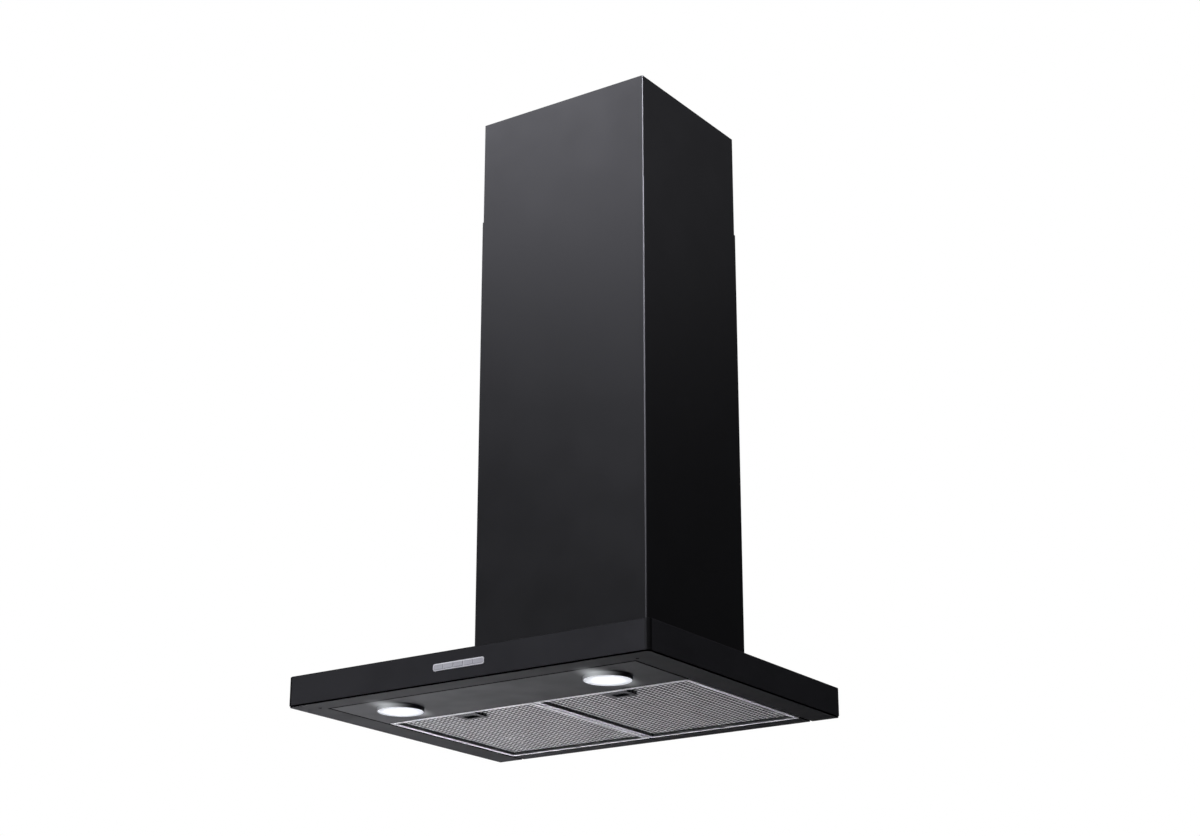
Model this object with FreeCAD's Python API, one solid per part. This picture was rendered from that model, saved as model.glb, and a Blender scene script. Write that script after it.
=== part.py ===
import FreeCAD, Part
import math
import os

# Wall-mounted chimney range hood: a flat canopy with two grease filters, two round lamps and a
# row of push buttons, a double-inlet centrifugal blower above it, and a telescopic flue cover.
# Origin: on the wall plane, on the centre line, level with the underside of the canopy.
# +X points to the right as seen by the cook, +Y into the wall and +Z up. All sizes in mm.

V = FreeCAD.Vector
X_AXIS = V(1, 0, 0)
Y_AXIS = V(0, 1, 0)
Z_AXIS = V(0, 0, 1)
PAST = 2.0  # how far a cutting tool runs past the face that it opens

# Canopy shell: powder-coated sheet steel, folded into a shallow tray upside down.
canopy_height = 43.4
canopy_sheet = 1.0
canopy_corner_radius = 7.0
canopy_top_radius = 1.6
shadow_seam = 2.2  # the skirt's lower edge stands this high above the underside
wall_gap = 4.0  # the flue cover stands this far off the wall

# Underside tray: a folded frame round the filter bay, set inside the skirt.
tray_sheet = 1.2
tray_fit = 0.3
tray_flange_height = 14.0
side_border = 44.0
front_border = 36.0
bay_flange_height = 20.0
bay_bend = 0.9
tray_screw_inset = 28.0
tray_screw_side_inset = 36.0
screw_head_radius = 2.3
screw_shank_radius = 1.5
screw_head_height = 0.8
screw_recess_width = 0.6
screw_sink_gap = 0.3
screw_tail = 6.0
corner_bracket_length = 30.0
corner_bracket_width = 22.0
corner_bracket_height = 26.0
corner_bracket_sheet = 1.5
corner_rib_length = 12.0
corner_rib_height = 18.0

# Rear rail: a channel that closes the canopy's back and carries the filters' rear hooks.
rail_depth = 24.0
rail_sheet = 1.2
rail_end_gap = 3.0
rail_filter_gap = 5.0
rail_lip_height = 3.0  # centre of the lip's rounded top, which is also the filters' pivot

# Lamp panel between the front border and the filters.
panel_depth = 130.0
panel_groove = 1.4
panel_bend = 0.7
panel_sheet = 0.8
panel_flange_height = 18.0
panel_rear_gap = 1.0

# Lamps: round pucks let into the lamp panel.
lamp_side_inset = 82.0  # lamp centre from the side of the filter bay
lamp_setback = 58.0  # lamp centre behind the panel's front edge
lamp_radius = 33.0
lamp_proud = 4.6
lamp_sleeve_radius = 29.6
lamp_sleeve_height = 10.0
lamp_wall = 1.4
lamp_hole_gap = 0.4
lamp_edge_bevel = 0.3
lens_thickness = 1.8
lens_inset = 0.1
lens_ledge = 3.9
lens_gap = 0.2
lamp_base_thickness = 3.0
lamp_fin_count = 5
lamp_fin_thickness = 1.6
lamp_fin_pitch = 8.0
lamp_fin_height = 12.0
lamp_clip_width = 9.0
lamp_clip_sheet = 0.6
lamp_clip_reach = 11.0

# Grease filters: an aluminium channel frame round a pack of expanded mesh.
filter_width = 250.0
filter_length = 297.0
filter_gap = 4.0
bay_side_gap = 4.0
filter_height = 9.0
filter_sheet = 0.8
filter_lip = 5.5
filter_recess = 4.0  # the mesh stands this far above the lip
filter_notch_width = 10.0
filter_notch_depth = 3.0
mesh_sheet = 0.6
mesh_columns = 6
mesh_rows = 7
mesh_margin = 9.0
mesh_strand = 6.0
backing_columns = 4
backing_rows = 5
backing_strand = 9.0

# Rear hooks of a filter, which lie over the rail's rounded lip and turn on it.
hook_spacing = 160.0
hook_width = 16.0
hook_sheet = 0.8
hook_clearance = 0.3
hook_tail = 1.4

# Filter latch: a flush sliding plate with a finger slot and a sprung tongue.
latch_width = 39.0
latch_length = 34.0
latch_thickness = 2.0
latch_base_gap = 0.2
latch_edge_gap = 0.3
latch_travel = 6.0  # frees the tongue, which reaches a little less than this into the panel
finger_slot_width = 23.0
finger_slot_length = 15.0
finger_slot_rear_strip = 4.0
tongue_width = 22.0
tongue_thickness = 1.0
tongue_clearance = 0.3
tongue_side_clearance = 0.6
tongue_reach = 5.0
latch_tab_width = 12.0
latch_tab_thickness = 1.0
latch_tab_setback = 9.0
latch_tab_height = 4.0
latch_well_margin = 1.5
guide_width = 18.0
guide_sheet = 0.6
guide_gap = 0.3
guide_stop_thickness = 1.0
spring_sheet = 0.4
spring_width = 5.0
spring_rise = 1.3
spring_end_gap = 0.1

# Push buttons in the middle of the front skirt.
bezel_width = 84.0
bezel_height = 9.5
bezel_centre_height = 22.25
bezel_corner_radius = 2.4
bezel_proud = 1.2
bezel_rim = 0.75
bezel_fit = 0.15
bezel_sleeve_wall = 0.45
bezel_sleeve_depth = 2.4
button_count = 5
button_divider = 0.7
button_gap = 0.3
button_proud = 0.7
button_thickness = 4.0
button_travel = 2.5
stem_width = 6.0
stem_height = 3.6
stem_length = 6.0
switch_wall = 2.2
switch_rim_gap = 0.3
switch_front_gap = 0.5
switch_depth = 21.0
switch_pocket_gap = 0.3

# Blower chassis: a galvanised box on the canopy, which also hangs the hood on the wall.
chassis_width = 270.0
chassis_depth = 240.0
chassis_height = 286.6
chassis_sheet = 1.0
chassis_flange = 10.0
chassis_flange_wall_gap = 8.0
chassis_screw_radius = 2.0
chassis_screw_spacing = 190.0
chassis_inlet_margin = 13.0
hang_hole_radius = 4.0
hang_hole_spacing = 200.0
hang_hole_drop = 40.0
safety_hole_radius = 3.0
safety_hole_rise = 30.0

# Scroll: the snail-shaped casing of the blower, three quarter arcs of growing radius.
scroll_half_width = 76.0
scroll_sheet = 1.0
scroll_rise = 108.6  # impeller axis above the canopy's top
scroll_setback = 120.0  # impeller axis in front of the wall
scroll_first_radius = 86.0
scroll_step = 12.0  # growth of the radius at each quarter turn
tongue_angle = 50.0
inlet_radius = 60.0
inlet_flare = 8.0
flare_steps = 2

# Impeller: a forward-curved double-inlet wheel of blades and rings on a centre disc.
impeller_radius = 75.0
impeller_half_width = 64.0
impeller_ring_width = 2.0
impeller_ring_depth = 5.0
impeller_disc = 1.5
disc_blade_gap = 0.05
blade_count = 20
blade_inner_radius = 62.0
blade_outer_radius = 74.0
blade_lead = 11.0  # degrees by which the tip leads the root
blade_camber = 2.2
blade_slice = 0.9  # degrees
hub_radius = 10.0
hub_length = 24.0
lightening_count = 6
lightening_radius = 8.0
lightening_circle = 34.0

# Motor beside the scroll, carried by three arms, with its shaft through the wheel.
shaft_radius = 4.0
motor_radius = 42.0
motor_outer_end = 128.0
motor_inner_end = 62.0
motor_end_radius = 30.0
motor_end_step = 8.0
rotor_radius = 19.2
rotor_gap = 0.8
rotor_length = 36.0
bearing_radius = 9.0
bearing_length = 7.0
bearing_fit = 0.02
shaft_clearance = 1.0
shaft_wheel_overhang = 14.0
shaft_end_recess = 1.2
mount_ring_wall = 2.0
mount_ring_width = 12.0
mount_ring_offset = 12.0
mount_arm_width = 14.0
mount_arm_sheet = 1.6
mount_foot_circle = 78.0
mount_foot_length = 14.0
mount_screw_radius = 2.0
mount_arm_count = 3

# Outlet collar with two back-draught flaps.
duct_radius = 75.0
collar_wall = 1.5
collar_height = 42.0
collar_flange = 9.0
collar_flange_thickness = 1.5
flap_thickness = 1.2
flap_wall_gap = 0.8
flap_axle_height = 16.0
flap_axle_spacing = 9.0
flap_axle_radius = 1.5
flap_knuckle_wall = 1.2
flap_bore_gap = 0.06
flap_knuckle_length = 46.0
flap_ledge_width = 4.0
flap_ledge_thickness = 1.0
flap_ledge_gap = 0.3
flap_root_reach = 5.0
flap_ear_depth = 10.0
flap_ear_margin = 2.9
flap_axle_grip = 6.0  # how far each axle end sits in its ear

# Electrical parts on top of the chassis.
terminal_width = 44.0
terminal_depth = 90.0
terminal_height = 30.0
terminal_wall = 2.0
terminal_cover_thickness = 3.0
terminal_side_inset = 1.0
terminal_centre_y = -65.0
gland_nut_radius = 9.0
gland_nut_height = 7.0
gland_dome_radius = 7.0
gland_dome_height = 7.0
gland_bore_radius = 4.2
gland_setback = 22.0
gland_rim = 0.5
capacitor_radius = 15.0
capacitor_length = 66.0
capacitor_side_inset = 23.0
capacitor_centre_y = -65.0
capacitor_neck = 6.0
capacitor_bevel = 1.5
capacitor_clip_sheet = 1.2
capacitor_clip_width = 14.0
capacitor_clip_foot = 9.0

# Flue cover: a fixed lower half, and an upper half that slides inside it.
flue_side_gap = 3.4
flue_front_gap = 25.2
flue_height = 739.6
flue_sheet = 0.8
flue_corner_radius = 2.0
flue_return = 12.0
flue_slide_gap = 0.3
upper_flue_length = 420.0
upper_flue_rest_top = 950.0
vent_slot_count = 6
vent_slot_width = 60.0
vent_slot_height = 5.0
vent_slot_pitch = 14.0
vent_slot_first = 20.0
locator_width = 24.0
locator_height = 16.0
locator_foot = 12.0
locator_sheet = 1.0
locator_spacing = 150.0

# Wall bracket inside the top of the upper flue.
bracket_height = 30.0
bracket_sheet = 1.5
bracket_drop = 6.0
bracket_step = 8.0
bracket_step_half_width = 128.0
bracket_tab = 34.0
bracket_fit = 0.3
bracket_hole_spacing = 200.0
bracket_hole_radius = 3.0

# Places that follow from the sizes above.
canopy_width = 2 * (side_border + bay_side_gap + filter_width) + filter_gap
canopy_depth = front_border + panel_depth + filter_length + rail_filter_gap + rail_depth
half_width = canopy_width / 2
front_y = -canopy_depth
inner_half_width = half_width - canopy_sheet
inner_front_y = front_y + canopy_sheet
top_z = canopy_height
ceiling_z = canopy_height - canopy_sheet
tray_half_width = inner_half_width - tray_fit
tray_front_y = inner_front_y + tray_fit
bay_half_width = half_width - side_border
bay_front_y = front_y + front_border
panel_rear_y = bay_front_y + panel_depth
filter_front_y = panel_rear_y
filter_rear_y = filter_front_y + filter_length
filter_centre_x = (filter_width + filter_gap) / 2
rail_front_y = -rail_depth
pivot_y = rail_front_y + rail_sheet / 2
pivot_z = rail_lip_height
mesh_z = filter_recess
backing_z = filter_height - filter_sheet - mesh_sheet
tongue_low = filter_sheet + tongue_clearance
tongue_slot_high = tongue_low + tongue_thickness + tongue_clearance
latch_front_y = filter_front_y + filter_lip + latch_edge_gap
latch_tab_y = latch_front_y + latch_tab_setback
spring_length = 3 * latch_travel - 2 * spring_end_gap
guide_stop_y = latch_tab_y + latch_tab_thickness + spring_length + 2 * spring_end_gap
chassis_half_width = chassis_width / 2
chassis_top_z = top_z + chassis_height
chassis_inner_half = chassis_half_width - chassis_sheet
scroll_y = -scroll_setback
scroll_z = top_z + scroll_rise
scroll_top_z = chassis_top_z - chassis_sheet
tongue_y = scroll_y + scroll_step / 2 + scroll_first_radius * math.cos(math.radians(tongue_angle))
scroll_front_y = scroll_y - scroll_step / 2 - scroll_first_radius - 2 * scroll_step
collar_y = (scroll_front_y + tongue_y) / 2
terminal_centre_x = chassis_half_width - terminal_side_inset - terminal_width / 2
capacitor_centre_x = -(chassis_half_width - capacitor_side_inset)
flue_half_width = chassis_half_width + chassis_flange + flue_side_gap + flue_sheet
flue_rear_y = -wall_gap
flue_front_y = -(chassis_depth + flue_front_gap + flue_sheet)
flue_top_z = top_z + flue_height
upper_step = flue_sheet + flue_slide_gap
upper_half_width = flue_half_width - upper_step
upper_front_y = flue_front_y + upper_step
upper_rear_y = flue_rear_y - upper_step
upper_bottom_z = upper_flue_rest_top - upper_flue_length


def save(name, *solids):
    """Write one node; a group of like pieces is a compound of separate solids."""
    shape = solids[0] if len(solids) == 1 else Part.makeCompound(list(solids))
    shape.exportStep(os.path.join("parts", name + ".step"))


def block(x, y, z):
    """Box between two values along each axis."""
    return Part.makeBox(x[1] - x[0], y[1] - y[0], z[1] - z[0], V(x[0], y[0], z[0]))


def rod(radius, low, high, centre, axis=Z_AXIS):
    """Cylinder along an axis, from low to high, through centre in the plane across it."""
    return Part.makeCylinder(radius, high - low, centre + axis * low, axis)


def tube(inner, outer, low, high, centre, axis=Z_AXIS):
    return rod(outer, low, high, centre, axis).cut(rod(inner, low - PAST, high + PAST, centre, axis))


def polygon_prism(points, direction):
    return Part.Face(Part.makePolygon(points + points[:1])).extrude(direction)


def hexagon(radius, height, axis):
    """Hexagonal prism from the origin along an axis."""
    across = Y_AXIS if axis.isEqual(X_AXIS, 1e-9) else X_AXIS
    other = axis.cross(across)
    corners = []
    for index in range(6):
        angle = math.radians(60 * index)
        corners.append(across * (radius * math.cos(angle)) + other * (radius * math.sin(angle)))
    return polygon_prism(corners, axis * height)


def mirrored(shape):
    """The same piece on the other side of the centre line."""
    return shape.mirror(V(0, 0, 0), X_AXIS)


def plan_prism(half, front, rear, radius, low, high):
    """Upright prism, square at the rear, with two rounded front corners."""
    reach = radius * (1 - math.sqrt(0.5))
    left_start = V(-half, front + radius, low)
    left_end = V(-half + radius, front, low)
    right_start = V(half - radius, front, low)
    right_end = V(half, front + radius, low)
    rear_right = V(half, rear, low)
    rear_left = V(-half, rear, low)
    edges = [
        Part.makeLine(rear_left, left_start),
        Part.Arc(left_start, V(-half + reach, front + reach, low), left_end).toShape(),
        Part.makeLine(left_end, right_start),
        Part.Arc(right_start, V(half - reach, front + reach, low), right_end).toShape(),
        Part.makeLine(right_end, rear_right),
        Part.makeLine(rear_right, rear_left),
    ]
    return Part.Face(Part.Wire(edges)).extrude(V(0, 0, high - low))


def face_prism(width, height, radius, near, far, centre_z=bezel_centre_height):
    """Rounded rectangle in the plane of the front skirt, carried from near to far along Y."""
    solid = block((-width / 2, width / 2), (near, far), (centre_z - height / 2, centre_z + height / 2))
    along_y = [edge for edge in solid.Edges if abs(edge.tangentAt(edge.FirstParameter).y) > 0.9]
    return solid.makeFillet(radius, along_y)


def round_top_edges(solid, radius, height, rear):
    """Round the outline of a top face, except along its rear edge."""
    edges = []
    for edge in solid.Edges:
        box = edge.BoundBox
        level = abs(box.ZMin - height) < 1e-6 and abs(box.ZMax - height) < 1e-6
        if level and box.YMin < rear - 1e-6:
            edges.append(edge)
    return solid.makeFillet(radius, edges)


# ------------------------------------------------------------------ canopy and underside


def chassis_screw_places():
    """Four screws down through the chassis's side flanges into the canopy."""
    x = chassis_half_width + chassis_flange / 2
    middle = -chassis_depth / 2
    return [V(sx * x, middle + sy * chassis_screw_spacing / 2, 0) for sx in (-1, 1) for sy in (-1, 1)]


def make_canopy_shell():
    outer = plan_prism(half_width, front_y, 0, canopy_corner_radius, shadow_seam, top_z)
    outer = round_top_edges(outer, canopy_top_radius, top_z, 0)
    inner_radius = canopy_corner_radius - canopy_sheet
    inner = plan_prism(inner_half_width, inner_front_y, PAST, inner_radius, -PAST, ceiling_z)
    shell = outer.cut(inner)
    inlet_half = chassis_half_width - chassis_inlet_margin
    inlet_y = (-chassis_depth + chassis_inlet_margin, -chassis_inlet_margin)
    shell = shell.cut(block((-inlet_half, inlet_half), inlet_y, (ceiling_z - PAST, top_z + PAST)))
    opening_width = bezel_width - 2 * bezel_rim
    opening_height = bezel_height - 2 * bezel_rim
    opening_radius = bezel_corner_radius - bezel_rim
    near_far = (front_y - PAST, inner_front_y + PAST)
    shell = shell.cut(face_prism(opening_width, opening_height, opening_radius, *near_far))
    for place in chassis_screw_places():
        shell = shell.cut(rod(chassis_screw_radius, ceiling_z - PAST, top_z + PAST, place))
    return shell


def tray_screw_place():
    return V(half_width - tray_screw_side_inset, front_y + tray_screw_inset, 0)


def edge_on_bay(edge):
    """True for a lower edge of the filter bay, where the sheet bends up."""
    box = edge.BoundBox
    on_side = abs(abs(box.XMin) - bay_half_width) < 1e-6 and box.XLength < 1e-6
    on_front = abs(box.YMin - bay_front_y) < 1e-6 and box.YLength < 1e-6
    return box.ZMax < 1e-6 and (on_side or on_front)


def make_underside_frame():
    """Three folded borders in one piece, with flanges up the skirt and round the bay."""
    radius = canopy_corner_radius - canopy_sheet - tray_fit
    outer = plan_prism(tray_half_width, tray_front_y, 0, radius, 0, bay_flange_height)
    hollow_half = tray_half_width - tray_sheet
    hollow_front = tray_front_y + tray_sheet
    hollow_top = bay_flange_height + PAST
    hollow = plan_prism(hollow_half, hollow_front, PAST, radius - tray_sheet, tray_sheet, hollow_top)
    plate = outer.cut(hollow)
    trim = block((-half_width, half_width), (front_y, PAST), (tray_flange_height, bay_flange_height + PAST))
    plate = plate.cut(trim)
    bay_edge = bay_half_width + tray_sheet
    flange = block((-bay_edge, bay_edge), (bay_front_y - tray_sheet, 0), (0, bay_flange_height))
    bay = block((-bay_half_width, bay_half_width), (bay_front_y, PAST), (-PAST, bay_flange_height + PAST))
    frame = plate.fuse(flange).cut(bay).removeSplitter()
    bends = [edge for edge in frame.Edges if edge_on_bay(edge)]
    frame = frame.makeChamfer(bay_bend, bends)
    place = tray_screw_place()
    sink = rod(screw_head_radius + screw_sink_gap, -PAST, screw_head_height, place)
    bore = rod(screw_shank_radius, 0, tray_sheet + PAST, place)
    for tool in (sink, bore):
        frame = frame.cut(tool).cut(mirrored(tool))
    return frame


def make_tray_screw():
    place = tray_screw_place()
    length = tray_sheet + corner_bracket_sheet + screw_tail
    head = rod(screw_head_radius, 0, screw_head_height, place)
    arm = screw_recess_width / 2
    driver = block((-screw_shank_radius, screw_shank_radius), (-arm, arm), (-PAST, screw_head_height / 2))
    across = driver.copy()
    across.rotate(V(0, 0, 0), Z_AXIS, 90)
    recess = driver.fuse(across)
    recess.translate(place)
    return head.fuse(rod(screw_shank_radius, 0, length, place)).cut(recess)


def make_corner_bracket():
    """Angle that ties the underside tray to the skirt behind the front corner."""
    place = tray_screw_place()
    x = (place.x - corner_bracket_width / 2, place.x + corner_bracket_width / 2)
    front = tray_front_y + tray_sheet
    foot = block(x, (front, front + corner_bracket_length), (tray_sheet, tray_sheet + corner_bracket_sheet))
    back = block(x, (front, front + corner_bracket_sheet), (tray_sheet, tray_sheet + corner_bracket_height))
    rib_points = [
        V(place.x, front, tray_sheet),
        V(place.x, front + corner_rib_length, tray_sheet),
        V(place.x, front, tray_sheet + corner_rib_height),
    ]
    rib = polygon_prism(rib_points, V(corner_bracket_sheet, 0, 0))
    hole = rod(screw_shank_radius, 0, tray_sheet + corner_bracket_sheet + PAST, place)
    return foot.fuse(back).fuse(rib).cut(hole)


def make_rear_rail():
    half = bay_half_width - rail_end_gap
    x = (-half, half)
    floor = block(x, (rail_front_y, 0), (0, rail_sheet))
    back = block(x, (-rail_sheet, 0), (0, ceiling_z))
    lip = block(x, (rail_front_y, rail_front_y + rail_sheet), (0, pivot_z))
    crown = rod(rail_sheet / 2, -half, half, V(0, pivot_y, pivot_z), X_AXIS)
    return floor.fuse(back).fuse(lip).fuse(crown)


def make_lamp_panel():
    half = bay_half_width - panel_groove
    front = bay_front_y + panel_groove
    rear = panel_rear_y - panel_rear_gap
    tray = block((-half, half), (front, rear), (0, panel_flange_height))
    tray = tray.makeChamfer(panel_bend, [edge for edge in tray.Edges if edge.BoundBox.ZMax < panel_bend])
    inner = half - panel_sheet
    inner_y = (front + panel_sheet, rear - panel_sheet)
    tray = tray.cut(block((-inner, inner), inner_y, (panel_sheet, panel_flange_height + PAST)))
    for side in (-1, 1):
        hole = lamp_sleeve_radius + lamp_hole_gap
        tray = tray.cut(rod(hole, -PAST, panel_sheet + PAST, lamp_place(side)))
        slot_half = tongue_width / 2 + tongue_side_clearance
        x = (side * filter_centre_x - slot_half, side * filter_centre_x + slot_half)
        slot = block(x, (rear - panel_sheet - PAST / 2, rear + PAST), (panel_sheet, tongue_slot_high))
        tray = tray.cut(slot)
    return tray


# ------------------------------------------------------------------ lamps


def lamp_place(side):
    return V(side * (bay_half_width - lamp_side_inset), bay_front_y + lamp_setback, 0)


def make_lamp_ring(side):
    """Bezel below the panel and the sleeve that passes up through it."""
    place = lamp_place(side)
    flange = rod(lamp_radius, -lamp_proud, 0, place)
    lower_rim = [edge for edge in flange.Edges if edge.BoundBox.ZMax < -lamp_proud + 1e-6]
    flange = flange.makeChamfer(lamp_edge_bevel, lower_rim)
    body = flange.fuse(rod(lamp_sleeve_radius, -lamp_proud / 2, lamp_sleeve_height, place))
    inner = lamp_sleeve_radius - lamp_wall
    body = body.cut(rod(inner, -lamp_proud - PAST, lamp_sleeve_height + PAST, place))
    seat = rod(inner + lens_ledge, -lamp_proud - PAST, -lamp_proud + lens_thickness + lens_inset, place)
    return body.cut(seat)


def make_lamp_lens(side):
    place = lamp_place(side)
    radius = lamp_sleeve_radius - lamp_wall + lens_ledge - lens_gap
    low = -lamp_proud + lens_inset
    return rod(radius, low, low + lens_thickness, place)


def make_lamp_body(side):
    """Light board and finned aluminium heat sink inside the sleeve."""
    place = lamp_place(side)
    radius = lamp_sleeve_radius - lamp_wall
    low = -lamp_proud + lens_inset + lens_thickness
    base_top = low + lamp_base_thickness
    body = rod(radius, low, base_top, place)
    for index in range(lamp_fin_count):
        x = place.x + (index - (lamp_fin_count - 1) / 2) * lamp_fin_pitch
        half = math.sqrt(radius**2 - (abs(x - place.x) + lamp_fin_thickness) ** 2) - lamp_fin_thickness
        span = (x - lamp_fin_thickness / 2, x + lamp_fin_thickness / 2)
        fin = block(span, (place.y - half, place.y + half), (base_top, base_top + lamp_fin_height))
        body = body.fuse(fin)
    return body


def make_lamp_clips():
    """Spring leaves on both sides of each sleeve, which bear on the top of the panel."""
    clips = []
    for side in (-1, 1):
        place = lamp_place(side)
        for way in (-1, 1):
            root = place.x + way * lamp_sleeve_radius
            tip = root + way * lamp_clip_reach
            middle = (root + tip) / 2
            rise = lamp_sleeve_height - panel_sheet - lamp_clip_sheet
            points = [
                V(root, 0, panel_sheet + rise),
                V(middle, 0, panel_sheet + rise),
                V(tip, 0, panel_sheet),
                V(tip, 0, panel_sheet + lamp_clip_sheet),
                V(middle, 0, panel_sheet + rise + lamp_clip_sheet),
                V(root, 0, panel_sheet + rise + lamp_clip_sheet),
            ]
            leaf = polygon_prism(points, V(0, lamp_clip_width, 0))
            leaf.translate(V(0, place.y - lamp_clip_width / 2, 0))
            clips.append(leaf.cut(rod(lamp_sleeve_radius, 0, lamp_sleeve_height + PAST, place)))
    return clips


# ------------------------------------------------------------------ push buttons


def window_width():
    span = bezel_width - 2 * (bezel_rim + bezel_fit + bezel_sleeve_wall)
    return (span - (button_count - 1) * button_divider) / button_count


def window_span(index, shrink=0.0):
    """The low and high X of one button's window, or of what fits in it."""
    width = window_width()
    centre = (index - (button_count - 1) / 2) * (width + button_divider)
    return (centre - width / 2 + shrink, centre + width / 2 - shrink)


def window_prism(shrink, near, far):
    """All five windows run together: the inside of the bezel's sleeve, less a margin."""
    inset = bezel_rim + bezel_fit + bezel_sleeve_wall + shrink
    radius = bezel_corner_radius - inset
    return face_prism(bezel_width - 2 * inset, bezel_height - 2 * inset, radius, near, far)


def make_control_bezel():
    near = front_y - bezel_proud
    far = front_y + bezel_sleeve_depth
    plate = face_prism(bezel_width, bezel_height, bezel_corner_radius, near, front_y)
    inset = bezel_rim + bezel_fit
    radius = bezel_corner_radius - inset
    sleeve = face_prism(bezel_width - 2 * inset, bezel_height - 2 * inset, radius, near, far)
    bezel = plate.fuse(sleeve)
    opening = window_prism(0, near - PAST, far + PAST)
    height = (bezel_centre_height - bezel_height, bezel_centre_height + bezel_height)
    for index in range(button_count):
        bezel = bezel.cut(opening.common(block(window_span(index), (near - PAST, far + PAST), height)))
    return bezel


def make_button(index):
    near = front_y - bezel_proud - button_proud
    far = near + button_thickness
    height = (bezel_centre_height - bezel_height, bezel_centre_height + bezel_height)
    cap = window_prism(button_gap, near, far)
    cap = cap.common(block(window_span(index, button_gap), (near - PAST, far + PAST), height))
    middle = sum(window_span(index)) / 2
    x = (middle - stem_width / 2, middle + stem_width / 2)
    z = (bezel_centre_height - stem_height / 2, bezel_centre_height + stem_height / 2)
    return cap.fuse(block(x, (far, far + stem_length), z))


def make_switch_block():
    """Moulded switch body behind the skirt, with a pocket for each button's stem."""
    inset = bezel_rim + bezel_fit - switch_rim_gap
    inner_half = bezel_width / 2 - inset
    inner_rise = bezel_height / 2 - inset
    x = (-inner_half - switch_wall, inner_half + switch_wall)
    z = (bezel_centre_height - inner_rise - switch_wall, bezel_centre_height + inner_rise + switch_wall)
    body = block(x, (inner_front_y, inner_front_y + switch_depth), z)
    cap_rear = front_y - bezel_proud - button_proud + button_thickness + button_travel
    floor = cap_rear + switch_front_gap
    rise = (bezel_centre_height - inner_rise, bezel_centre_height + inner_rise)
    body = body.cut(block((-inner_half, inner_half), (inner_front_y - PAST, floor), rise))
    pocket_half = stem_width / 2 + switch_pocket_gap
    pocket_rise = stem_height / 2 + switch_pocket_gap
    pocket_z = (bezel_centre_height - pocket_rise, bezel_centre_height + pocket_rise)
    pocket_end = cap_rear + stem_length + switch_front_gap
    for index in range(button_count):
        middle = sum(window_span(index)) / 2
        pocket_x = (middle - pocket_half, middle + pocket_half)
        body = body.cut(block(pocket_x, (floor - PAST, pocket_end), pocket_z))
    return body


# ------------------------------------------------------------------ grease filters


def diamond_grid(columns, rows, strand, low, high):
    """Diamond openings in staggered rows, as in an expanded sheet, for one filter at x = 0."""
    width = filter_width - 2 * mesh_margin
    length = filter_length - 2 * mesh_margin
    pitch_x = width / columns
    pitch_y = length / rows
    half_x = (pitch_x - strand) / 2
    half_y = (pitch_y - strand / 2) / 2 + pitch_y / 4
    openings = []
    for row in range(rows):
        shift = pitch_x / 2 if row % 2 else 0.0
        for column in range(columns - row % 2):
            x = -width / 2 + (column + 0.5) * pitch_x + shift
            y = filter_front_y + mesh_margin + (row + 0.5) * pitch_y
            corners = [V(x - half_x, y, low), V(x, y - half_y, low)]
            corners += [V(x + half_x, y, low), V(x, y + half_y, low)]
            openings.append((x, y, polygon_prism(corners, V(0, 0, high - low))))
    return openings


def mesh_sheet_plate(low):
    half = filter_width / 2 - filter_sheet
    y = (filter_front_y + filter_sheet, filter_rear_y - filter_sheet)
    return block((-half, half), y, (low, low + mesh_sheet))


def latch_well():
    """The gap in the lower mesh where the latch's tab and spring run."""
    half = latch_tab_width / 2 + latch_well_margin
    rear = guide_stop_y + guide_stop_thickness + latch_well_margin
    return (-half, half), (latch_tab_y - latch_well_margin, rear)


def make_filter_mesh():
    """Lower expanded sheet, open in diamonds except where the latch plate covers it."""
    low = mesh_z
    plate = mesh_sheet_plate(low)
    keep_half = latch_width / 2 + mesh_strand
    keep_rear = latch_front_y + latch_length + mesh_strand
    holes = []
    grid = diamond_grid(mesh_columns, mesh_rows, mesh_strand, low - PAST, low + mesh_sheet + PAST)
    for x, y, hole in grid:
        if abs(x) > keep_half + mesh_strand or y > keep_rear + mesh_strand:
            holes.append(hole)
    well_x, well_y = latch_well()
    holes.append(block(well_x, well_y, (low - PAST, low + mesh_sheet + PAST)))
    return plate.cut(Part.makeCompound(holes))


def make_filter_backing():
    """Upper, coarser sheet of the pack, notched round the latch guide."""
    low = backing_z
    plate = mesh_sheet_plate(low)
    grid = diamond_grid(backing_columns, backing_rows, backing_strand, low - PAST, low + PAST)
    holes = [entry[2] for entry in grid]
    half = guide_width / 2 + guide_gap
    rear = filter_front_y + filter_lip + guide_gap
    holes.append(block((-half, half), (filter_front_y, rear), (low - PAST, low + PAST)))
    return plate.cut(Part.makeCompound(holes))


def make_filter_frame():
    """Channel frame with a lower lip, a top flange and two rear hooks."""
    half = filter_width / 2
    y = (filter_front_y, filter_rear_y)
    frame = block((-half, half), y, (0, filter_height))
    window = half - filter_lip
    window_y = (y[0] + filter_lip, y[1] - filter_lip)
    frame = frame.cut(block((-window, window), window_y, (-PAST, filter_height + PAST)))
    groove = half - filter_sheet
    groove_y = (y[0] + filter_sheet, y[1] - filter_sheet)
    frame = frame.cut(block((-groove, groove), groove_y, (filter_sheet, filter_height - filter_sheet)))
    slot_half = tongue_width / 2 + tongue_side_clearance
    slot_y = (y[0] - PAST, window_y[0] + PAST)
    frame = frame.cut(block((-slot_half, slot_half), slot_y, (filter_sheet, tongue_slot_high)))
    notch_half = filter_notch_width / 2
    notch_y = (window_y[1] - PAST, window_y[1] + filter_notch_depth)
    frame = frame.cut(block((-notch_half, notch_half), notch_y, (-PAST, filter_sheet + PAST)))
    for side in (-1, 1):
        frame = frame.fuse(make_filter_hook(side * hook_spacing / 2))
    return frame


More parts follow.
